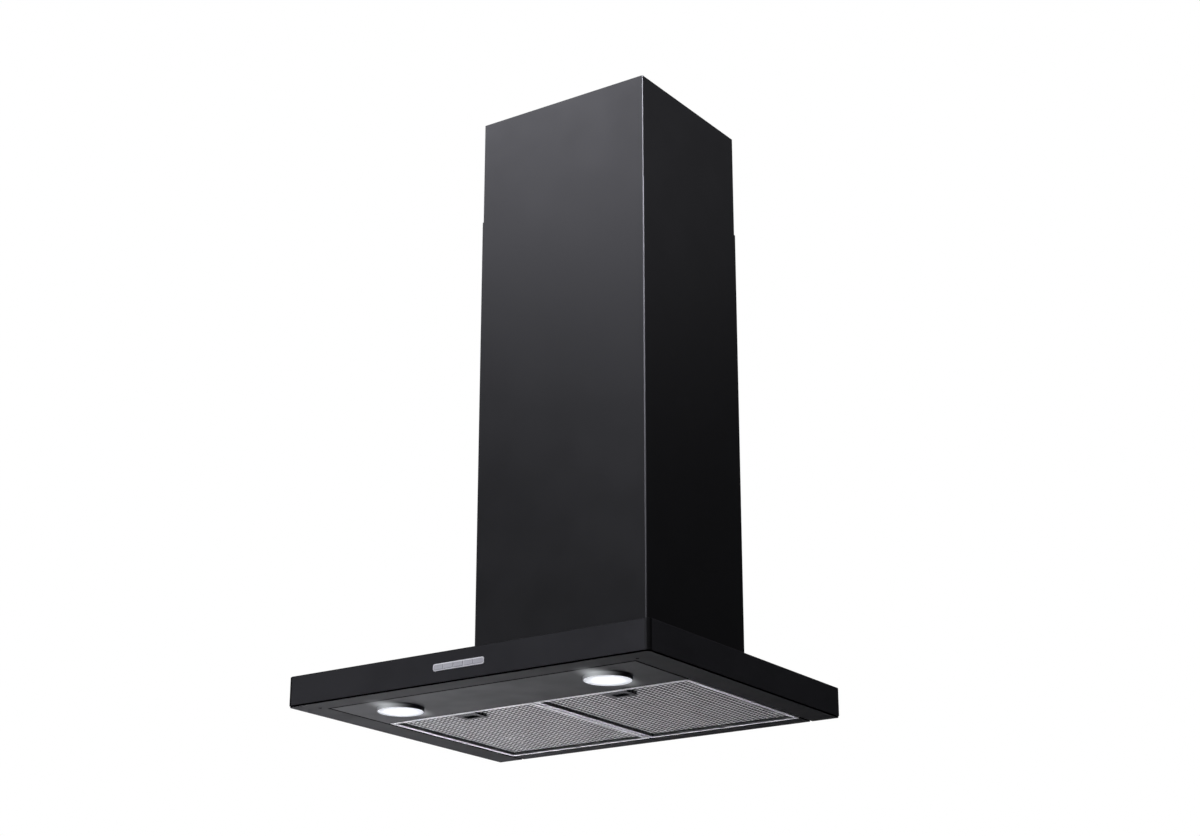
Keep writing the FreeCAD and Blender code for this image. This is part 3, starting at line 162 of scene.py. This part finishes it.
def blend_base(tree, shader, factor, colour):
    """The base colour goes over to another one as factor goes from 0 to 1."""
    base = shader.inputs["Base Color"]
    blend = add(tree, "Mix", data_type="RGBA", Factor=factor)
    given_colour, new_colour, mixed_colour = blend.inputs[6], blend.inputs[7], blend.outputs[2]
    give(tree, given_colour, base.links[0].from_socket)
    give(tree, new_colour, colour)
    give(tree, base, mixed_colour)


def painted_fold_highlight(tree, shader, place, colour, faint, full, low_z, high_z):
    """Painted highlight on the upright folds: base colour and metallic part go over by the fold's
    factor times a share, which grows from faint at height low_z to full at high_z."""
    height = add(tree, "SeparateXYZ", place).outputs["Z"]
    share = add(
        tree, "MapRange", Value=height, From_Min=low_z, From_Max=high_z, To_Min=faint, To_Max=full
    )
    fold = folded(tree, "X", "Y", least=0.06, most=0.4)
    bright = add(tree, "Math", fold, share, operation="MULTIPLY")
    blend_base(tree, shader, bright, colour)
    give(tree, shader.inputs["Metallic"], bright)


flue_black = powder_coat("satin_black_powder_coat", "#0b0b0d", "#0d0d0f", smooth=0.35, rough=0.38)
# painted highlight on the flue's folds: light grey, strong at the top, faint near the canopy
painted_fold_highlight(*workings(flue_black), "#c4c4c8", faint=0.04, full=0.92, low_z=0.1, high_z=0.95)
dress(flue_black, "lower_flue", "upper_flue")


# Canopy: one folded sheet steel box with a front skirt, in the same powder coat, painted greyer
# here than on the flue so that its broad faces come out lighter. Shade is painted dark on its
# rounded folds, whose coat is also less glossy, so they show as dark lines.
def dull_and_painted_shade(tree, shader, factor, glossy, dull, colour):
    """As factor goes from 0 to 1, the coat's specular level falls from glossy to dull and its base
    colour goes over to the one given, as painted shade."""
    level = add(tree, "MapRange", Value=factor, To_Min=glossy, To_Max=dull)
    give(tree, shader.inputs["Specular IOR Level"], level)
    blend_base(tree, shader, factor, colour)


# a lighter copy of the flue's coat, painted greyer so that the canopy comes out lighter
canopy_black_painted_lighter = powder_coat("satin_black_canopy_coat_painted_lighter", "#1e1e21", "#222225", smooth=0.37, rough=0.41)
tree, shader, place = workings(canopy_black_painted_lighter)
side_fold = folded(tree, "X", "Y", least=0.01, most=0.1)
front_fold = folded(tree, "Y", "Z", least=0.01, most=0.1)
fold_painted_shade = add(tree, "Math", side_fold, front_fold, operation="MAXIMUM")
# painted shade: the folds' base colour goes near black and their specular level drops
dull_and_painted_shade(tree, shader, fold_painted_shade, glossy=0.5, dull=0.16, colour="#0b0b0c")
dress(canopy_black_painted_lighter, "canopy_shell")


# Underside tray, rear rail and lamp panel: folded sheet steel in the same coat, screwed up into
# the canopy. A glow of the lamps is painted on the sheet's nearest few centimetres to them, and the
# gap round the panel and the sheet beside it are painted black as shade, where no light gets in.
def from_lamp_axis(tree, place, squeeze):
    """Distance from the nearer lamp's axis: sqrt((squeeze (|x| - lamp_x))^2 + (y - lamp_y)^2)."""
    parts = add(tree, "SeparateXYZ", place)
    one_side = add(tree, "Math", parts.outputs["X"], operation="ABSOLUTE")
    x_away = add(tree, "Math", one_side, lamp_x, operation="SUBTRACT")
    x = add(tree, "Math", x_away, squeeze, operation="MULTIPLY")
    y = add(tree, "Math", parts.outputs["Y"], lamp_y, operation="SUBTRACT")
    x_squared = add(tree, "Math", x, x, operation="MULTIPLY")
    y_squared = add(tree, "Math", y, y, operation="MULTIPLY")
    total = add(tree, "Math", x_squared, y_squared, operation="ADD")
    return add(tree, "Math", total, operation="SQRT")


def lamp_glow_and_painted_spill(tree, shader, place, near, far, strength, power, squeeze=1.0):
    """Glow of strength * (1 - t)^power, where t runs from 0 at near to 1 at far from the axis. A
    squeeze above 1 makes the glow narrower in x than in y. On the lenses it is the lamps' own
    light; on the panel, tray and rims it is painted light spilling from the lamps."""
    away = from_lamp_axis(tree, place, squeeze)
    rest = add(tree, "MapRange", Value=away, From_Min=near, From_Max=far, To_Min=1.0, To_Max=0.0)
    fall = add(tree, "Math", rest, power, operation="POWER")
    glow = add(tree, "Math", fall, strength, operation="MULTIPLY")
    give(tree, shader.inputs["Emission Color"], "#f7fbff")
    give(tree, shader.inputs["Emission Strength"], glow)


def beside_outline(tree, place, low, high):
    """Distance in metres from the outline of an upright box or of its twin across x = 0: the
    larger of ||x| - middle x| - half width and |y - middle y| - half depth, without its sign."""
    parts = add(tree, "SeparateXYZ", place)
    twin_x = add(tree, "Math", parts.outputs["X"], operation="ABSOLUTE")
    sides = []
    for along, least, most in ((twin_x, low.x, high.x), (parts.outputs["Y"], low.y, high.y)):
        from_middle = add(tree, "Math", along, (least + most) / 2, operation="SUBTRACT")
        away = add(tree, "Math", from_middle, operation="ABSOLUTE")
        sides.append(add(tree, "Math", away, (most - least) / 2, operation="SUBTRACT"))
    outside = add(tree, "Math", *sides, operation="MAXIMUM")
    return add(tree, "Math", outside, operation="ABSOLUTE")


def shaded_gap(tree, place, low, high):
    """1 on the gap's walls, from 0.1 to 0.5 mm above z = 0, and on the sheet within 1 mm of the
    outline, from where it fades out by 1.8 mm: the mask of the painted shade round the panel."""
    height = add(tree, "SeparateXYZ", place).outputs["Z"]
    wall = add(tree, "MapRange", Value=height, From_Min=0.0001, From_Max=0.0005)
    distance = beside_outline(tree, place, low, high)
    edge = add(
        tree, "MapRange", Value=distance, From_Min=0.001, From_Max=0.0018, To_Min=1.0, To_Max=0.0
    )
    return add(tree, "Math", wall, edge, operation="MAXIMUM")


lens_low, lens_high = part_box("lamp_lens_right")
lamp_x = (lens_low.x + lens_high.x) / 2
lamp_y = (lens_low.y + lens_high.y) / 2
lamp_radius = (lens_high.x - lens_low.x) / 2
panel_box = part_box("lamp_panel")
for coat, gloss, names in (
    ("satin_black_underside_coat", 0.021, ("underside_frame", "rear_rail")),
    ("satin_black_panel_coat", 0.054, ("lamp_panel",)),
):
    underside_black = powder_coat(coat, "#070709", "#09090c", smooth=0.34, rough=0.4, gloss=gloss)
    tree, shader, place = workings(underside_black)
    # painted glow of the lamps over the sheet nearest to them
    lamp_glow_and_painted_spill(
        tree, shader, place, near=0.6 * lamp_radius, far=0.08, strength=0.9, power=2.4, squeeze=2.4
    )
    gap = shaded_gap(tree, place, *panel_box)
    # painted shade: the gap and the sheet beside it go near black and lose their gloss
    dull_and_painted_shade(tree, shader, gap, glossy=gloss, dull=0.0, colour="#020202")
    dress(underside_black, *names)


# Screws of the underside: countersunk steel heads with a cross recess, blackened dull, driven up
# through the tray into the corner brackets.
black_screw = powder_coat(
    "blackened_screw_steel", "#020202", "#040404", smooth=0.7, rough=0.8, gloss=0.0
)
dress(black_screw, "underside_screws")


# Lamp rims: pressed steel rings that clamp each lamp into its hole. They are coated like the
# panel, a little greyer, and a glow of the lamp is painted over their bevel.
rim_coat = powder_coat("lamp_rim_coat", "#1c1c1f", "#232327", smooth=0.3, rough=0.36)
# painted glow of the lamp over the rim's bevel
lamp_glow_and_painted_spill(
    *workings(rim_coat), near=0.6 * lamp_radius, far=0.06, strength=0.8, power=1.5, squeeze=1.9
)
dress(rim_coat, "lamp_ring_left", "lamp_ring_right")


# Lamp lenses: frosted acrylic discs on the rims' ledges, lit from behind by a light board, and
# brightest over its middle. The frost is drawn 0.6 mm across, coarser than the real one, to show.
lens, tree, shader, place = new_material("frosted_lamp_lens")
frost = noise(tree, place, 0.6)
colour_between(tree, shader, frost, "#e2e4e8", "#eef0f4")
roughness_between(tree, shader, frost, 0.45, 0.6)
raised(tree, shader, frost, 0.01)
lamp_glow_and_painted_spill(
    tree, shader, place, near=0.1 * lamp_radius, far=1.3 * lamp_radius, strength=1.6, power=1.2
)
dress(lens, "lamp_lens_left", "lamp_lens_right")


# Grease filter frames: channel of rolled aluminium, mitred, folded and left bare. The flat of its
# lip is painted a darker grey as shade, so that the rounded edges either side read as highlights.
def drawn_metal(name, smooth, rough, stretch):
    """Bare metal that still lacks a colour, followed by its workings and its haze over 25 mm. Its
    drawing lines are 0.25 mm apart, coarser than the real ones, to show, and run along the axis
    where stretch is small."""
    made, tree, shader, place = new_material(name, metallic=1.0)
    haze = noise(tree, place, 25.0)
    roughness_between(tree, shader, haze, smooth, rough)
    raised(tree, shader, noise(tree, place, 0.25, stretch), 0.004)
    return made, tree, shader, place, haze


def rolled_metal(name, dark, light, smooth, rough, stretch):
    """Drawn metal whose colour runs from dark to light with its haze."""
    made, tree, shader, place, haze = drawn_metal(name, smooth, rough, stretch)
    colour_between(tree, shader, haze, dark, light)
    return made


filter_metal = rolled_metal(
    "bare_rolled_aluminium", "#f6f6f8", "#ffffff", smooth=0.4, rough=0.48, stretch=(1, 0.02, 1)
)
tree, shader, place = workings(filter_metal)
# painted shade on the lip's flat, 2.2 to 3.3 mm inside the frame's outline, fading over 1 mm each
# way
inward = beside_outline(tree, place, *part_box("filter_frame_right"))
past_outer = add(tree, "MapRange", Value=inward, From_Min=0.0012, From_Max=0.0022)
before_inner = add(
    tree, "MapRange", Value=inward, From_Min=0.0033, From_Max=0.0043, To_Min=1.0, To_Max=0.0
)
lip_flat_painted_shade = add(tree, "Math", past_outer, before_inner, operation="MULTIPLY")
blend_base(tree, shader, lip_flat_painted_shade, "#86868a")
dress(filter_metal, "filter_frame_left", "filter_frame_right")


# Filter latches: flush plates of rolled aluminium with a finger slot, which slide in a guide on
# the filter. They are dulled to a dark satin grey, so they stand out from the bright mesh.
latch_metal = rolled_metal(
    "satin_latch_aluminium", "#2c2c2e", "#343437", smooth=0.5, rough=0.6, stretch=(1, 0.05, 1)
)
dress(latch_metal, "latch_left", "latch_right")


# Lamp bodies: cast aluminium heat sinks with fins, left as cast, a matt light grey. They are held
# to the panel by leaf clips.
heat_sink = rolled_metal(
    "cast_heat_sink", "#9b9da0", "#b4b6b9", smooth=0.45, rough=0.6, stretch=(1, 1, 1)
)
dress(heat_sink, "lamp_body_left", "lamp_body_right")


# Filter mesh: two layers of slit and stretched aluminium sheet, embossed in 8 mm squares and held
# in the frame's channel. The openings are ovals. The crossings hang a little proud and a highlight
# is painted on them; what lies deeper, and the whole inner layer, is painted dark as shade.
def new_piece(name, points, faces):
    """An object at the origin, with its place in its mesh."""
    mesh = bpy.data.meshes.new(name)
    mesh.from_pydata(points, [], faces)
    made = bpy.data.objects.new(name, mesh)
    bpy.context.scene.collection.objects.link(made)
    return made


def expanded_sheet(name, low, high, level, thick, wave, pitch, hole, steps, keep_out):
    """Square cells of one pitch, each two rings of quads between the cell's edge and an oval hole,
    over the box from low to high. hole holds the oval's half axes.
    Height of the sheet's middle: level - wave * (cos(2 pi x / pitch) + cos(2 pi y / pitch)) / 2,
    with x and y counted from a crossing, so that the crossings hang lowest.
    keep_out is (low x, high x, low y, high y): no cell whose centre is inside it is made."""
    across = int((high.x - low.x) / pitch)
    along = int((high.y - low.y) / pitch)
    x0 = (low.x + high.x - across * pitch) / 2
    y0 = (low.y + high.y - along * pitch) / 2
    columns = x0 + (np.arange(across) + 0.5) * pitch
    rows = y0 + (np.arange(along) + 0.5) * pitch
    cx, cy = (centres.ravel() for centres in np.meshgrid(columns, rows))
    inside = (cx > keep_out[0]) & (cx < keep_out[1]) & (cy > keep_out[2]) & (cy < keep_out[3])
    cx, cy = cx[~inside], cy[~inside]

    # one cell in plan: on the edge, halfway and on the hole, at each step round it
    angle = 2 * math.pi * np.arange(steps) / steps
    reach = 0.5 * pitch / np.maximum(np.abs(np.cos(angle)), np.abs(np.sin(angle)))
    edge_x, edge_y = reach * np.cos(angle), reach * np.sin(angle)
    hole_x, hole_y = hole[0] * np.cos(angle), hole[1] * np.sin(angle)
    ring_x = np.stack([edge_x, (edge_x + hole_x) / 2, hole_x], 1).ravel()
    ring_y = np.stack([edge_y, (edge_y + hole_y) / 2, hole_y], 1).ravel()

    # all cells, with the top points first and the bottom points after them in the same order
    x = (cx[:, None] + ring_x[None, :]).ravel()
    y = (cy[:, None] + ring_y[None, :]).ravel()
    turn = 2 * math.pi / pitch
    z = level - wave * (np.cos(turn * (x - x0)) + np.cos(turn * (y - y0))) / 2
    flat = np.stack([x, y, z], 1)
    points = np.concatenate([flat + (0, 0, thick / 2), flat - (0, 0, thick / 2)])
    count = len(flat)

    # points of neighbouring cells that share a micrometre are one
    per_metre = 1e6
    micrometres = np.round(points * per_metre).astype(np.int64)
    unique, index = np.unique(micrometres, axis=0, return_inverse=True)
    index = index.ravel()

    # both faces of the sheet and the wall of each hole
    start = 3 * steps * np.arange(len(cx))[:, None]
    here = start + 3 * np.arange(steps)[None, :]
    after = start + 3 * ((np.arange(steps)[None, :] + 1) % steps)
    outer = np.stack([here, after, after + 1, here + 1], 2).reshape(-1, 4)
    inner = np.stack([here + 1, after + 1, after + 2, here + 2], 2).reshape(-1, 4)
    top = np.concatenate([outer, inner])
    bottom = top[:, ::-1] + count
    wall = np.stack([here + 2, after + 2, after + 2 + count, here + 2 + count], 2).reshape(-1, 4)
    quads = index[np.concatenate([top, bottom, wall])]

    # a skirt closes each cell edge that has no neighbour, found by its being there once
    rim = index[np.stack([here, after], 2).reshape(-1, 2)]
    _, where, times = np.unique(np.sort(rim, 1), axis=0, return_index=True, return_counts=True)
    edge = rim[where[times == 1]]
    under = np.full(len(unique), -1)
    under[index[:count]] = index[count:]
    skirt = np.stack([edge[:, 1], edge[:, 0], under[edge[:, 0]], under[edge[:, 1]]], 1)

    faces = np.concatenate([quads, skirt])
    made = new_piece(name, (unique / per_metre).tolist(), faces.tolist())
    crease = math.radians(50)
    made.data.shade_smooth()
    made.data.set_sharp_from_angle(angle=crease)
    return made


mesh_metal, tree, shader, place, _ = drawn_metal(
    "expanded_aluminium", smooth=0.4, rough=0.5, stretch=(1, 0.1, 1)
)
sheet_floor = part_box("filter_mesh_left")[0].z
# by height: painted highlight, white, on the crossings, and painted shade, near black, deeper in
bright_up_to, dark_from = sheet_floor - 0.0009, sheet_floor + 0.0001
height = add(tree, "SeparateXYZ", place).outputs["Z"]
depth = add(tree, "MapRange", Value=height, From_Min=bright_up_to, From_Max=dark_from)
colour_between(tree, shader, depth, "#ffffff", "#0c0c0e", low=0.0, high=1.0)
# the inner layer is painted near black as the shade behind the front one
behind_metal_painted_shade = rolled_metal(
    "inner_aluminium_painted_shade", "#0c0c0d", "#131315", smooth=0.5, rough=0.6, stretch=(1, 0.1, 1)
)
cell = 0.00806
layer_gap = 0.002
side_lap = 0.004  # how far the mesh reaches over each side of the latch plate
rear_gap = 0.001  # how far it stays off the plate's rear edge
for side in ("left", "right"):
    low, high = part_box("filter_mesh_" + side)
    middle = (low.z + high.z) / 2
    plate_low, plate_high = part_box("latch_" + side)
    well = (plate_low.x + side_lap, plate_high.x - side_lap, plate_low.y, plate_high.y + rear_gap)
    front = expanded_sheet(
        "mesh_front_" + side, low, high, level=middle, thick=0.0004, wave=0.0010,
        pitch=cell, hole=(0.0031, 0.0028), steps=16, keep_out=well,
    )
    behind = expanded_sheet(
        "mesh_behind_" + side, low, high, level=middle + layer_gap, thick=0.0004, wave=0.0005,
        pitch=cell, hole=(0.0030, 0.0026), steps=8, keep_out=well,
    )
    for piece, metal in ((front, mesh_metal), (behind, behind_metal_painted_shade)):
        piece.data.materials.append(metal)
        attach(piece, "filter_" + side)
    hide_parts("filter_mesh_" + side)


# Filter backing: the coarser upper layer of expanded aluminium, notched round the latch's guide.
# It closes the frame's channel from above and shows when the filter is opened. It is painted a
# darker grey than bare aluminium, as the shade behind the mesh.
backing_painted_shade = rolled_metal(
    "backing_aluminium_painted_shade", "#4c4e50", "#5c5e61", smooth=0.5, rough=0.6, stretch=(1, 0.1, 1)
)
guide_room = 0.005
for side in ("left", "right"):
    low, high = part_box("filter_backing_" + side)
    guide_low, guide_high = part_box("latch_guide_" + side)
    notch = (
        guide_low.x - guide_room, guide_high.x + guide_room, guide_low.y, guide_high.y + guide_room
    )
    back = expanded_sheet(
        "mesh_back_" + side, low, high, level=(low.z + high.z) / 2, thick=0.0005, wave=0.0003,
        pitch=0.0105, hole=(0.0041, 0.0034), steps=8, keep_out=notch,
    )
    back.data.materials.append(backing_painted_shade)
    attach(back, "filter_" + side)
    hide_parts("filter_backing_" + side)


# Control strip: a moulded frame with a silver coating, snapped into the front skirt, and five
# push buttons of light grey plastic with a fine moulded grain that keeps them soft to the eye.
def moulded(name, dark, light, smooth, rough, grain_mm=0.5):
    """Moulded or coated plastic: faint clouds over 20 mm, and a grain of half a millimetre or so,
    coarser than the real one, to show."""
    made, tree, shader, place = new_material(name)
    cloud = noise(tree, place, 20.0)
    colour_between(tree, shader, cloud, dark, light)
    roughness_between(tree, shader, cloud, smooth, rough)
    raised(tree, shader, noise(tree, place, grain_mm), 0.01)
    return made


silver_trim = moulded("silver_coated_plastic", "#fafafb", "#ffffff", smooth=0.35, rough=0.45)
dress(silver_trim, "control_bezel")
button_grey = moulded("light_grey_button_plastic", "#c2c2c5", "#cccccf", smooth=0.4, rough=0.5)
dress(button_grey, "button_1", "button_2", "button_3", "button_4", "button_5")


# Switch block, terminal box, gland, duct collar, flaps and blower wheel: black glass-filled
# plastics, moulded with a matt grain that dulls them. The wheel is pressed on its shaft, the flaps
# hang on pins, and the rest is screwed or snapped to the sheet metal.
black_plastic = moulded(
    "black_moulded_plastic", "#17181a", "#1f2022", smooth=0.5, rough=0.65, grain_mm=0.8
)
dress(
    black_plastic, "switch_block", "terminal_box", "terminal_cover", "cable_gland", "outlet_collar",
    "damper_flap_front", "damper_flap_rear", "impeller", "impeller_disc",
)


# Blower chassis, scroll, latch guides and all inner brackets: galvanised sheet steel, cut, folded
# and screwed. Its zinc has crystals 7 mm across, 143 to the metre, each a slightly other grey.
zinc, tree, shader, place = new_material("galvanised_sheet", metallic=0.9)
moved = add(tree, "Mapping", Vector=place, Scale=(143, 143, 143))
crystals = add(tree, "TexVoronoi", Vector=moved, Scale=1.0)
shade = add(tree, "SeparateColor", crystals.outputs["Color"])
colour_between(tree, shader, shade.outputs["Red"], "#8f9296", "#b3b6ba", low=0.0, high=1.0)
roughness_between(tree, shader, shade.outputs["Green"], 0.4, 0.55)
raised(tree, shader, noise(tree, place, 1.0), 0.01)
dress(
    zinc, "corner_brackets", "motor_chassis", "chassis_screws", "scroll_wrapper",
    "scroll_side_left", "scroll_side_right", "motor_mount", "motor_screws", "flue_locators",
    "flue_bracket", "capacitor_clip", "lamp_clips", "latch_guide_left", "latch_guide_right",
)


# Shaft, bearings and flap axles: bright steel, turned and ground, with fine lines along the shaft
# that draw its reflections out. The bearings sit in the motor, the axles in the collar's ears.
bright_steel = rolled_metal(
    "bright_ground_steel", "#8d8f92", "#a6a8ab", smooth=0.2, rough=0.3, stretch=(0.05, 1, 1)
)
dress(bright_steel, "motor_shaft", "motor_bearings", "flap_axles")


# Return leaves: bowed strips of tempered steel, bright as the shaft, one behind each latch and
# caught between its tab and a stop. A pulled latch shortens its leaf, which then springs it back.
def bowed_leaf(name, low, high, thick, stations):
    """Arched strip that fills its box, with closed ends.
    Height of its underside over the box's floor: 4 rise t (1 - t), with t from 0 to 1 along y."""
    t = np.linspace(0, 1, stations)
    y = low.y + (high.y - low.y) * t
    z = low.z + 4 * (high.z - low.z - thick) * t * (1 - t)
    x_low, x_high = np.full(stations, low.x), np.full(stations, high.x)
    corners = [(x_low, y, z), (x_high, y, z), (x_high, y, z + thick), (x_low, y, z + thick)]
    points = np.stack([np.stack(corner, 1) for corner in corners], 1).reshape(-1, 3)
    here = 4 * np.arange(stations - 1)[:, None]
    first = np.arange(4)[None, :]
    second = (first + 1) % 4
    sides = [here + first, here + 4 + first, here + 4 + second, here + second]
    last = 4 * (stations - 1)
    ends = [[0, 1, 2, 3], [last + 3, last + 2, last + 1, last]]
    return new_piece(name, points.tolist(), np.stack(sides, 2).reshape(-1, 4).tolist() + ends)


for side in ("left", "right"):
    low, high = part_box("latch_spring_" + side)
    leaf = bowed_leaf("return_leaf_" + side, low, high, thick=0.0004, stations=25)
    leaf.data.materials.append(bright_steel)
    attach(leaf, "filter_" + side)
    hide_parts("latch_spring_" + side)
    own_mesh(leaf)


# Motor and its run capacitor: a cast barrel with stepped end shields, enamelled a soft dark grey
# and carried by the three-armed mount, and a white moulded can in a clip.
motor_enamel = powder_coat("grey_motor_enamel", "#35373a", "#414347", smooth=0.45, rough=0.55)
dress(motor_enamel, "motor_housing", "motor_rotor")
white_can = moulded("white_moulded_can", "#d6d6d1", "#e2e2de", smooth=0.35, rough=0.45)
dress(white_can, "capacitor")


# Studio: large soft lights for the front, the side and the corner, two more that wash the floor
# out of view for the underside to catch, a pale floor far below the hood, a surround that the
# camera alone sees as white, and the camera at the photograph's place.
def soft_light(name, place, target, size, watts, colour):
    """Rectangular light at place, turned to target: tilted by atan2(flat distance, drop) from
    straight down, then turned by atan2(-x, y) about the vertical."""
    made = bpy.data.objects.new(name, bpy.data.lights.new(name, "AREA"))
    made.data.shape = "RECTANGLE"
    made.data.size, made.data.size_y = size
    made.data.energy = watts
    made.data.color = linear(colour)
    made.location = place
    x, y, z = np.array(target, float) - np.array(place, float)
    made.rotation_euler = (math.atan2(math.hypot(x, y), -z), 0, math.atan2(-x, y))
    bpy.context.scene.collection.objects.link(made)


for name, at, target, size, watts, colour in (
    ("front_left_softbox", (-2.6, -3.4, 3.6), (0, -0.2, 0.75), (2.2, 1.6), 62, "#f4f4ff"),
    ("low_left_softbox", (-3.4, -2.9, 0.4), (0, -0.2, 0.1), (1.6, 0.8), 7, "#f8f8ff"),
    ("frontal_softbox", (0.2, -4.4, 1.6), (0, -0.2, 0.3), (1.2, 1.2), 55, "#f4f4ff"),
    ("right_corner_strip", (3.0, -1.9, 2.9), (0, -0.2, 0.7), (0.8, 1.4), 50, "#f8f8ff"),
    ("right_rear_softbox", (2.9, 2.9, 2.9), (0.1, -0.1, 0.7), (1.6, 1.2), 3.2, "#f4f4ff"),
    ("floor_wash", (-6.9, 7.2, -0.6), (-6.9, 7.2, -1.5), (2.4, 2.4), 78, "#f4f4ff"),
    ("near_floor_wash", (-2.3, 1.8, -0.8), (-2.3, 1.8, -1.5), (0.9, 0.9), 74, "#fafaff"),
):
    soft_light(name, at, target, size, watts, colour)


def whiter_to_camera(tree, plain, white, share, output):
    """Camera rays see plain and white mixed by the share given, and every other ray sees plain."""
    camera_ray = add(tree, "LightPath").outputs["Is Camera Ray"]
    factor = add(tree, "Math", camera_ray, share, operation="MULTIPLY")
    mixed = add(tree, "MixShader", factor, plain, white)
    give(tree, tree.nodes[output].inputs["Surface"], mixed)


reach, floor_level = 14, -1.55
corners = [(-reach, -reach), (reach, -reach), (reach, reach), (-reach, reach)]
floor = new_piece("floor", [(x, y, floor_level) for x, y in corners], [(0, 1, 2, 3)])
floor_paint, tree, shader, place = new_material("pale_floor")
colour_between(tree, shader, noise(tree, place, 300.0), "#e4e4e4", "#ececec")
shader.inputs["Roughness"].default_value = 0.6
floor_white = add(tree, "Emission", Color="#ffffff", Strength=1.0)
whiter_to_camera(tree, shader, floor_white, share=0.8, output="Material Output")
floor.data.materials.append(floor_paint)

world = bpy.data.worlds.new("surround")
bpy.context.scene.world = world
world.use_nodes = True
tree = world.node_tree
surround = tree.nodes["Background"]
surround.inputs["Color"].default_value = (0.03, 0.03, 0.032, 1)
surround_white = add(tree, "Background", Color="#ffffff", Strength=1.0)
whiter_to_camera(tree, surround, surround_white, share=1.0, output="World Output")

camera = bpy.data.objects.new("camera", bpy.data.cameras.new("camera"))
camera.location = (1.7696, -2.7517, -0.6483)
camera.rotation_euler = (math.radians(90 + 19.418), math.radians(-0.03), math.radians(34.459))
camera.data.sensor_width = 36.0
camera.data.lens = 66.5055
camera.data.shift_x = 0.0040
camera.data.shift_y = 0.0030
camera.data.clip_end = 50
bpy.context.scene.collection.objects.link(camera)
bpy.context.scene.camera = camera
bpy.context.scene.view_settings.view_transform = "Standard"
